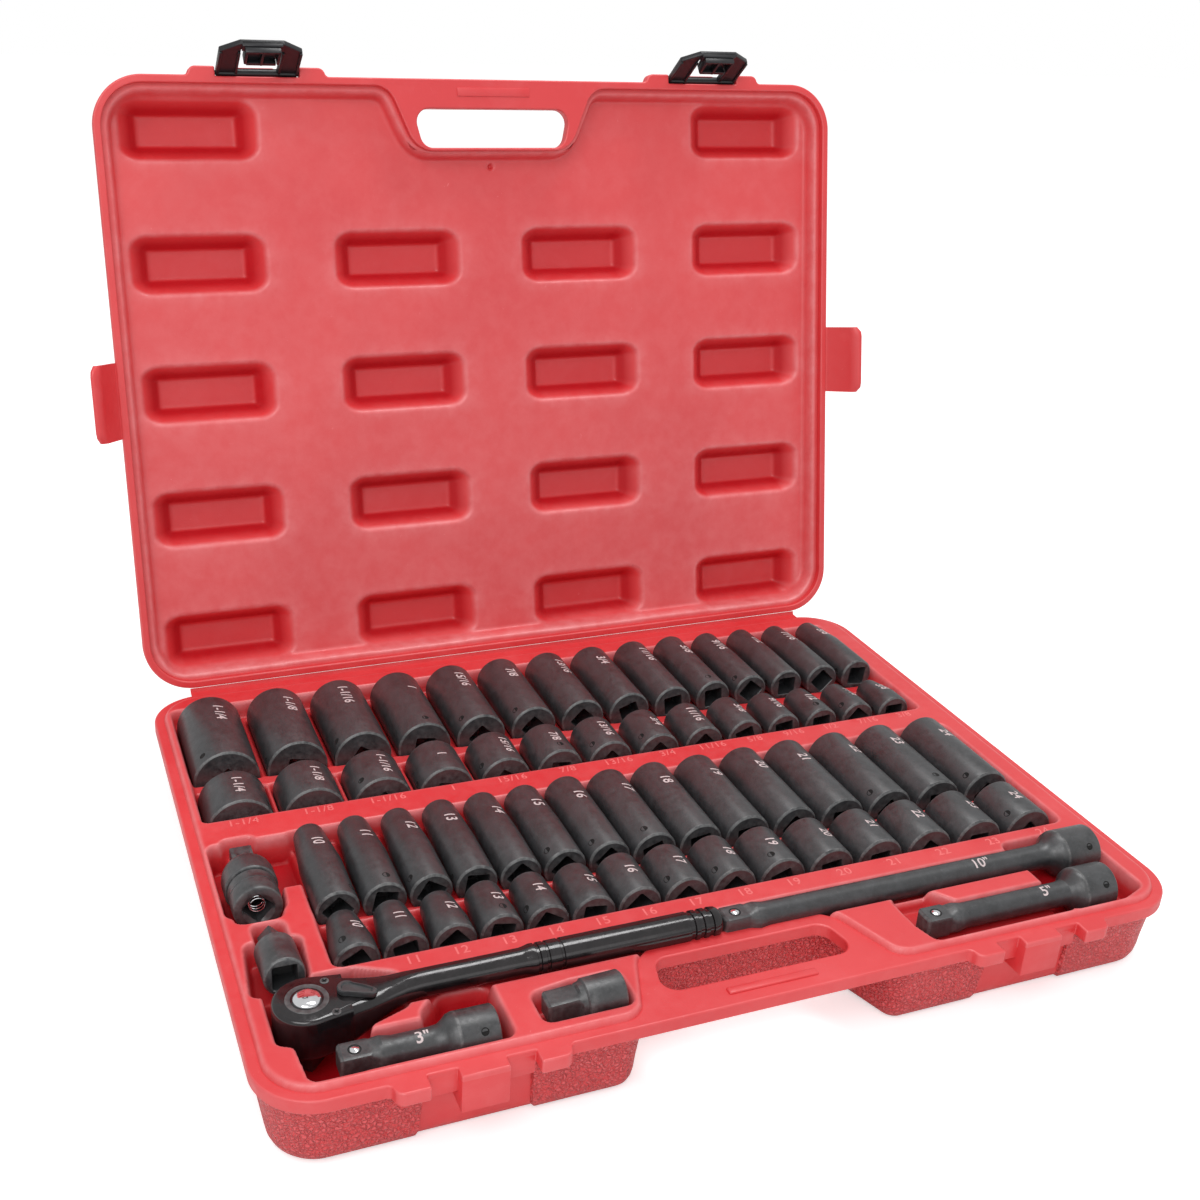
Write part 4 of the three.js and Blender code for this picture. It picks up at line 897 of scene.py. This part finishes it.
def socket_piece(s, deep, body, metric, order):
    length, taper_from, hex_depth = (DEEP_LENGTH, 42, 38) if deep else (SHALLOW_LENGTH, 13, 15)
    row = METRIC if metric else INCH
    top, front = (row["top"], row["deep"]) if deep else (SHALLOW_TOP, row["shallow"])
    drive, nose, across = s["drive"], s["nose"], s["across"]
    roll = math.radians(ROLLS[(order * 7 + (3 if deep else 0)) % len(ROLLS)])
    flat = across / 2
    mouth = min(flat * 1.155 + 0.7, nose - 1.3)
    bore = min(across * 0.43, 7.5)
    square = (4, SQUARE, roll, 8.75)
    hexagon = (6, flat, roll, 99)
    rings = [(0, drive - 1.3, 0.2), (0.05, drive - 1.2, 0.8), (1.1, drive - 0.1, 1.0), (1.4, drive, 0.1)]
    if nose < drive:
        rings += [(taper_from - 3, drive, 0), (taper_from + 1, drive - 0.1, 0)]
    rings += [
        (length - 1.9, nose + 0.05, 0.1), (length - 0.9, nose - 0.25, 0.6), (length - 0.2, nose - 0.9, 0.9),
        (length, nose - 1.2, 0.3),
        (length, mouth, 0.3), (length - 1.2, hexagon, 0.2), (length - hex_depth, hexagon, 0),
        (length - hex_depth - 1, bore, 0), (15, bore, 0), (15, square, 0), (0.5, square, 0.1),
        (0, (4, SQUARE + 0.35, roll, 9.2), 0.6),
    ]
    parts = Parts().turn(rings, 64, closed=True)
    # cross hole for the retaining pin, through opposite sides of the square, as dark discs of painted shade
    first = roll + (math.pi / 2 if order % 3 else 0)
    parts.pin_holes(drive, 8.5, 2.3, (first, first + math.pi), 1)
    angle = math.radians(14 + 9 * math.sin(order * 2.4))
    text_at = length * 0.70 if deep else length * 0.52
    radius, tilt = drive, 0
    if nose < drive and text_at > taper_from:
        tilt = -(drive - nose - 0.15) / (length - taper_from - 2.9)
        radius = drive - 0.1 + (text_at - taper_from - 1) * tilt
    parts.add(*on_barrel(s["label"], 6.6 if deep else 6.0, radius, text_at, angle, tilt=tilt), material=2)
    name = body if body != "case" else "shallow_" + s["key"]
    more = dict(replaces=(body,)) if body != "case" else {}
    place = at(s["x"], front, BASE + top - drive)
    parts.piece(name + "_socket", [STEEL, PAINTED_HOLE_SHADE, MARK], body, sharp=25, place=place, **more)


def sockets():
    for metric, row in ((False, INCH_SOCKETS), (True, METRIC_SOCKETS)):
        for i, s in enumerate(row):
            socket_piece(s, True, "deep_" + s["key"], metric, i + 20 * metric)
            socket_piece(s, False, "case" if metric else "shallow_" + s["key"], metric, i + 20 * metric + 7)


# ---------------- bars, adapters and the joint

def ball(parts, along, height, radius=2.6):
    """A detent ball standing out of a flat, with a dark rim round it that is painted shade of the gap."""
    shape = [
        (-1.4, radius), (-0.3, radius), (0.25, radius * 0.86), (0.7, radius * 0.5), (0.85, radius * 0.12),
    ]
    rim = [(-0.2, radius + 0.9), (0.06, radius + 0.75), (0.06, radius + 0.1), (-0.3, radius + 0.1)]
    for pts, material, closed in ((shape, 1, False), (rim, 2, True)):
        parts.turn([(height + z, r, 0) for z, r in pts], 20, material, at(0, along, 0) @ TO_Z, closed)


def drive_square(half, length, turn=0.0):
    big = half * 1.4142 * 0.965
    steps = [(0, 1.6, 1.6, 0.6), (0.5, 0.7, 0.8, 0.9), (1.5, 0, 0, 0.3), (length, 0, 0, 0.1)]
    return [(along, (4, half - flat, turn, big - edge), wear) for along, flat, edge, wear in steps]


def female(rings, length, radius, turn=0.0):
    square = (4, SQUARE, turn, 8.75)
    return rings + [
        (length - 1.3, radius, 0.3), (length - 0.9, radius - 0.15, 1.0), (length - 0.1, radius - 1.0, 0.9),
        (length, radius - 1.2, 0.3), (length, (4, SQUARE + 0.35, turn, 9.2), 0.6),
        (length - 0.5, square, 0.1),
        (length - 15, square, 0), (length - 15, 5.0, 0), (length - 17, 1.0, 0),
    ]


def extensions():
    tools = (
        ("extension_10in", -5, -141, 1.4, 250, 7.4, 14.0, 24, 14, '10"', 170),
        ("extension_5in", 104, -174, 0, 126, 7.2, 13.5, 21.5, 12, '5"', 82),
        ("extension_3in", -227, -176, -3, 79, 7.6, 12.5, 21, 12, '3"', 41),
    )
    for name, px, py, pz, length, shaft, end, end_length, flare, label, text_at in tools:
        bell = length - end_length
        rise = end - shaft
        rings = drive_square(6.35, 14.5) + [
            (16.0, (4, 6.5, 0, shaft + 0.5), 0.5), (18.2, (4, 7.4, 0, shaft + 0.9), 0.4),
            (21, shaft + 1.1, 0.25),
            (27, shaft, 0), (bell - flare, shaft, 0), (bell - flare * 0.64, shaft + rise * 0.10, 0),
            (bell - flare * 0.42, shaft + rise * 0.42, 0), (bell - flare * 0.22, shaft + rise * 0.84, 0.1),
            (bell - 0.7, end - 0.2, 0.3), (bell, end, 1.0), (bell + 0.8, end, 1.0), (bell + 1.5, end, 0.1),
        ]
        parts = Parts().turn(female(rings, length, end), 64)
        ball(parts, 8.0, 6.35)
        parts.add(*on_barrel(label, 6.2, shaft, text_at, math.radians(16), flip=True), material=3)
        parts.pin_holes(end, length - 8.5, 2.1, (math.radians(50), math.radians(230)), 2)
        place = at(px, py, BASE + pz) @ TO_X
        parts.piece(name + "_bar", [STEEL, CHROME, PAINTED_HOLE_SHADE, MARK], name, sharp=28, place=place, replaces=(name,))


def adapters():
    def shape(length, half, tip_length, end, turn):
        rings = drive_square(half, tip_length - 1, turn) + [
            (tip_length, (4, half + 0.5, turn, half * 1.34), 0.4), (tip_length + 1.0, half * 1.42, 0.4),
            (tip_length + 3.4, end - 0.9, 0.2), (tip_length + 4.3, end, 0.7), (length - 13, end, 0),
        ]
        return female(rings, length, end, math.radians(45) + turn)

    right = at(-121, -174, BASE - 0.3) @ turned(-3, "Y") @ TO_X
    left = at(-239.7, -71, BASE - 2.5) @ turned(-8, "X") @ turned(180, "Z")
    for body, rings, place in (
        ("adapter_front", shape(42, 6.35, 17, 10.6, 0), right),
        ("adapter_left", shape(45, 4.75, 13, 11, math.radians(45)), left),
    ):
        Parts().turn(rings).piece(body + "_body", [STEEL], body, sharp=28, place=place, replaces=(body,))


def universal_joint():
    centre = at(-241.5, -22, BASE - 0.8)
    turns = np.linspace(math.radians(-80), math.radians(58), 14)
    rings = [(9.4 * math.sin(a), 9.4 * math.cos(a), 0) for a in turns] + [
        (10.6, 5.4, 0), (13.4, 5.4, 0.2), (13.6, (4, 6.0, 0, 8.4), 0.5), (14.2, (4, 6.35, 0, 8.6), 0.3),
        (25.0, (4, 6.35, 0, 8.6), 0.2), (26.0, (4, 5.6, 0, 7.9), 0.9), (26.5, (4, 4.8, 0, 7.0), 0.5),
    ]
    ball_end = Parts().turn(rings)
    ball_end.piece("ujoint_drive_stub", [STEEL], "ujoint", sharp=28, place=centre, replaces=("ujoint_drive",))

    swivel = centre @ turned(-4.5, "X")
    collar = [
        (6, 9.9, 0), (-3, 11.2, 0), (-10.5, 11.8, 0), (-10.5, 13.6, 0.3),
        (-10.2, 14.5, 0.8), (-9.4, 15, 0.15),
        (1.5, 15, 0), (5.2, 14.3, 0), (8.2, 12.9, 0.2), (10.0, 11.0, 0.6), (10.2, 9.6, 0.3),
    ]
    ring = Parts().turn(collar, 64, closed=True)
    ring.piece(
        "ujoint_collar_ring", [STEEL], "ujoint_sleeve",
        sharp=28, place=swivel, replaces=("ujoint_collar",),
    )
    square = (4, SQUARE, math.radians(45), 8.9)
    rings = [
        (-6, 9.9, 0), (-6, 11.3, 0), (-10.9, 11.4, 0), (-11.0, 13.2, 0.7),
        (-11.5, 13.75, 0.6), (-18.6, 13.8, 0),
        (-18.8, 13.45, 0.4), (-19.3, 13.45, 0.4), (-19.5, 13.8, 0.3), (-29.6, 13.8, 0.2), (-30.6, 13.3, 0.9),
        (-31, 12.5, 0.4), (-31, 9.2, 0.3), (-29.4, square, 0.1),
        (-16, square, 0), (-16, 6.4, 0), (-6, 6.4, 0),
    ]
    verts, faces, wear_and_painted_light = polar(rings, 64, closed=True)
    parts = Parts().add(verts, [f[::-1] for f in faces], 0, wear_and_painted_light)
    # the spring inside the square
    turns, wire, radius = 3.4, 0.36, 4.4
    path = np.linspace(0, turns * 2 * math.pi, 110)
    drop = path / (2 * math.pi) * 2.6
    line = np.column_stack([radius * np.cos(path), -18.5 - drop, radius * np.sin(path)])
    tangent = np.gradient(line, axis=0)
    tangent /= np.linalg.norm(tangent, axis=1, keepdims=True)
    across = np.column_stack([np.cos(path), np.zeros(len(path)), np.sin(path)])
    up = np.cross(tangent, across)
    around = np.linspace(0, 2 * math.pi, 9)[:-1]
    parts.loops([
        np.array([middle + wire * (math.cos(t) * a + math.sin(t) * b) for t in around])
        for middle, a, b in zip(line, across, up)
    ], material=1)
    parts.piece("ujoint_sleeve_body", [STEEL, CHROME], "ujoint_sleeve", sharp=28, place=swivel,
                replaces=("ujoint_sleeve",))


# ---------------- ratchet

HEAD_TOP, HEAD_UNDER = 8.8, 8.8 - 25  # above the parting plane
GRIP, GROOVE = 8.4, 7.5


def head_plan(inset, length, end_width, steps=40):
    radius = 17.6 - inset
    angles = [math.radians(75 + 210 * k / steps) for k in range(steps + 1)]
    nose = [(radius * math.cos(a), radius * math.sin(a)) for a in angles]
    return np.array(nose + [(length, -end_width), (length, end_width)])


def handle_section(px, half, low, high, power):
    """A section across X, round where power is 2 and squarer above it."""
    angle = 2 * math.pi * np.arange(40) / 40
    c, s = np.cos(angle), np.sin(angle)
    size = (np.abs(c) ** power + np.abs(s) ** power) ** (-1 / power)
    height = (low + high) / 2 + (high - low) / 2 * size * s
    return np.column_stack([np.full(40, float(px)), half * size * c, height])


def ratchet_handle():
    """The head, the neck that rises out of it, and the handle with its grooves."""
    head = [
        (3.4, HEAD_UNDER), (1.6, HEAD_UNDER + 0.6), (0.4, HEAD_UNDER + 2.0), (0, HEAD_UNDER + 4),
        (0, HEAD_TOP - 2.2), (0.25, HEAD_TOP - 1.1), (0.9, HEAD_TOP - 0.35), (1.5, HEAD_TOP),
    ]
    neck = [
        (10, 15.6, HEAD_UNDER + 0.2, HEAD_TOP - 0.02, 6), (16, 14.8, HEAD_UNDER + 0.4, HEAD_TOP - 0.02, 5.5),
        (22, 13.6, HEAD_UNDER + 1.6, HEAD_TOP - 0.05, 4.5), (29, 12.0, HEAD_UNDER + 4.6, HEAD_TOP - 0.3, 3.8),
        (36, 10.2, HEAD_UNDER + 8.5, HEAD_TOP - 0.2, 3.2), (43, 8.6, -5.4, HEAD_TOP + 0.6, 2.7),
        (50, 7.7, -3.9, HEAD_TOP + 1.9, 2.3), (57, 7.4, -3.4, 11.2, 2), (70, 7.3, -3.3, 11.3, 2),
    ]
    profile = [(84, 7.25), (112, 7.35), (114, 7.6), (117.5, GRIP), (119.4, GRIP), (119.8, 7.7), (121.2, 7.7)]
    profile += [
        (121.6, GRIP), (124.4, GRIP), (124.8, 7.8), (126, 7.8), (126.4, GRIP), (132.6, GRIP), (133, 7.8),
    ]
    profile += [(134.2, 7.8), (134.6, GRIP), (205, GRIP)]
    for groove in (208, 213.5, 219.1):
        profile += [(groove - 0.5, GRIP), (groove, GROOVE), (groove + 2.2, GROOVE), (groove + 2.7, GRIP)]
    profile += [(225, 8.2), (226.6, 7.2), (227, 5.6)]
    sections = neck + [(px, r, 4 - r, 4 + r, 2) for px, r in profile]
    parts = Parts().loops([level(head_plan(inset, 20, 14.2 - inset * 0.6), z) for inset, z in head])
    return parts.loops([handle_section(*section) for section in sections])


def ratchet_cover():
    """The cover plate with its two screws."""
    steps = ((1.6, HEAD_TOP - 0.4), (1.6, HEAD_TOP + 0.02), (1.9, HEAD_TOP + 0.12))
    parts = Parts().loops([level(head_plan(inset, 31, 6.2), z) for inset, z in steps])
    screw = [(-0.2, 2.3, 0), (0.25, 2.3, 0.8), (0.5, 1.9, 0.8), (0.5, 1.2, 0), (0.2, 0.9, 0), (0.2, 0.2, 0)]
    slot = (HEAD_TOP + 0.3, HEAD_TOP + 0.53)
    for sx, sy in ((11.1, 10.6), (11.7, -13.5)):
        parts.turn([(HEAD_TOP + z, r, wear) for z, r, wear in screw], 18, 1, at(sx, sy, 0) @ TO_Z)
        # the slots are dark blocks on the screw heads: painted shade in place of cut slots
        cross = [(-1.5, 1.5, -0.28, 0.28, *slot), (-0.28, 0.28, -1.5, 1.5, *slot)]
        place = at(sx, sy, 0) @ Matrix.Rotation(0.5, 4, "Z")
        parts.blocks(cross, 0.05, 1, material=2, place=place)
    return parts


def ratchet_drive():
    drum = [
        (HEAD_UNDER, 3.0, 0), (HEAD_UNDER, 11.2, 0), (HEAD_TOP - 0.1, 11.2, 0.2), (HEAD_TOP + 0.3, 10.8, 0.8),
        (HEAD_TOP + 0.3, 8.4, 0.2), (HEAD_TOP - 0.3, 7.9, 0.2),
        (HEAD_TOP - 4, 7.6, 0), (HEAD_TOP - 4.5, 2, 0),
    ]
    low = HEAD_UNDER - 15
    anvil = [
        (low, (4, 4.9, 0.785, 7), 0.5), (low + 0.6, (4, 5.8, 0.785, 8), 0.8),
        (low + 1.5, (4, 6.35, 0.785, 8.6), 0.2), (HEAD_UNDER + 1, (4, 6.35, 0.785, 8.6), 0),
    ]
    return Parts().turn(drum, 48, place=TO_Z).turn(anvil, 32, place=TO_Z)


def ratchet_button():
    high = HEAD_TOP + 0.3 + 1.6
    cap = [(9, 7.2), (1.9, 7.2), (1.2, 7.0), (0.6, 6.2), (0.22, 4.6), (0.04, 2.6), (0, 0.6)]
    return Parts().turn([(high - drop, r, 0) for drop, r in cap], 48, place=TO_Z)


def ratchet_lever():
    """A shallow dish with a raised edge, which narrows to its tip."""
    plan = [(4.4 * math.cos(a), 4.4 * math.sin(a)) for a in np.radians(np.linspace(62, 298, 20))]
    plan = np.array(plan + [(9, -3.3), (14.6, -2.3), (16, -1.2), (16, 1.2), (14.6, 2.3), (9, 3.3)])
    steps = ((0.97, 0.25), (1.0, 0.7), (1.0, 2.7), (0.95, 3.3), (0.8, 3.35), (0.72, 2.5))
    return Parts().loops([level(plan * k + np.array([5.2 * (1 - k), 0]), HEAD_TOP + z) for k, z in steps])


def ratchet():
    centre = at(-234, -140.5, BASE)
    tilted = centre @ at(19.5, 0, 0) @ turned(-30, "Z")
    for parts, name, mats, body, node, place, sharp in (
        (ratchet_handle(), "handle", [GLOSS], "", "_body", centre, 32),
        (ratchet_cover(), "cover_plate", [GLOSS, STEEL, PAINTED_HOLE_SHADE], "", "_cover", centre, 32),
        (ratchet_drive(), "drive_drum", [STEEL], "_drive", "_drive", centre, 32),
        (ratchet_button(), "button_cap", [CHROME], "_button", "_button", centre, 60),
        (ratchet_lever(), "lever_arm", [STEEL], "_lever", "_lever", tilted, 32),
    ):
        parts.piece(
            "ratchet_" + name, mats, "ratchet" + body,
            sharp=sharp, place=place, replaces=("ratchet" + node,),
        )


# ---------------- stage, light and camera


def stage():
    mesh = bpy.data.meshes.new("floor")
    mesh.from_pydata(
        [(-6, -6, -0.0005), (6, -6, -0.0005), (6, 6, -0.0005), (-6, 6, -0.0005)], [], [(0, 1, 2, 3)]
    )
    floor = bpy.data.objects.new("floor", mesh)
    bpy.context.scene.collection.objects.link(floor)
    mat, t = new_material("floor")
    t.shader.inputs["Base Color"].default_value = (0.9, 0.9, 0.9, 1)
    t.shader.inputs["Roughness"].default_value = 0.9
    glow = t.add("Emission", Strength=0.5)
    both = t.add("AddShader")
    path = t.add("LightPath")
    only = t.add("MixShader")
    t.link(path.outputs["Is Camera Ray"], only.inputs[0])
    t.link(t.shader.outputs[0], both.inputs[0])
    t.link(glow.outputs[0], both.inputs[1])
    t.link(t.shader.outputs[0], only.inputs[1])
    t.link(both.outputs[0], only.inputs[2])
    t.link(only.outputs[0], t.nodes["Material Output"].inputs["Surface"])
    mesh.materials.append(mat)

    world = bpy.data.worlds.new("studio")
    bpy.context.scene.world = world
    t = Tree(world)
    background = t.nodes["Background"]
    level = t.ramp(t.add("LightPath").outputs["Is Camera Ray"], 0.62, 1.0, 0, 1)
    t.link(level, background.inputs["Strength"])
    background.inputs["Color"].default_value = (1, 1, 1, 1)


def area_light(name, location, target, size, power):
    data = bpy.data.lights.new(name, "AREA")
    data.shape = "RECTANGLE"
    data.size, data.size_y = size
    data.energy = power
    lamp = bpy.data.objects.new(name, data)
    lamp.location = location
    lamp.rotation_mode = "QUATERNION"
    lamp.rotation_quaternion = (Vector(target) - Vector(location)).to_track_quat("-Z", "Y")
    bpy.context.scene.collection.objects.link(lamp)


def camera():
    data = bpy.data.cameras.new("camera")
    data.sensor_width = 36
    data.lens = 43.09
    data.shift_x, data.shift_y = 0.0386, -0.0088
    data.clip_start, data.clip_end = 0.01, 50
    cam = bpy.data.objects.new("camera", data)
    bpy.context.scene.collection.objects.link(cam)
    forward = Vector((0.3482, 0.8426, -0.4109))
    up = Vector((0.1075, 0.3996, 0.9104))
    right = forward.cross(up).normalized()
    up = right.cross(forward).normalized()
    rotation = Matrix((right, up, -forward.normalized())).transposed()
    cam.matrix_world = at(-0.34525, -0.69898, 0.48831 + BASE * 0.001) @ rotation.to_4x4()
    bpy.context.scene.camera = cam


case_base()
case_lid()
latch("left", LATCH_X[0])
latch("right", LATCH_X[1])
sockets()
extensions()
adapters()
universal_joint()
ratchet()
stage()
area_light("key", (-0.9, -1.1, 1.6), (0, 0, 0.05), (1.2, 1.2), 15)
area_light("top", (0.4, 0.3, 1.9), (0, 0, 0), (1.1, 0.45), 13)
area_light("front", (0.1, -2.2, 0.9), (0, 0.1, 0.2), (1.6, 0.8), 2.5)
camera()

bpy.context.scene.view_settings.view_transform = "Standard"
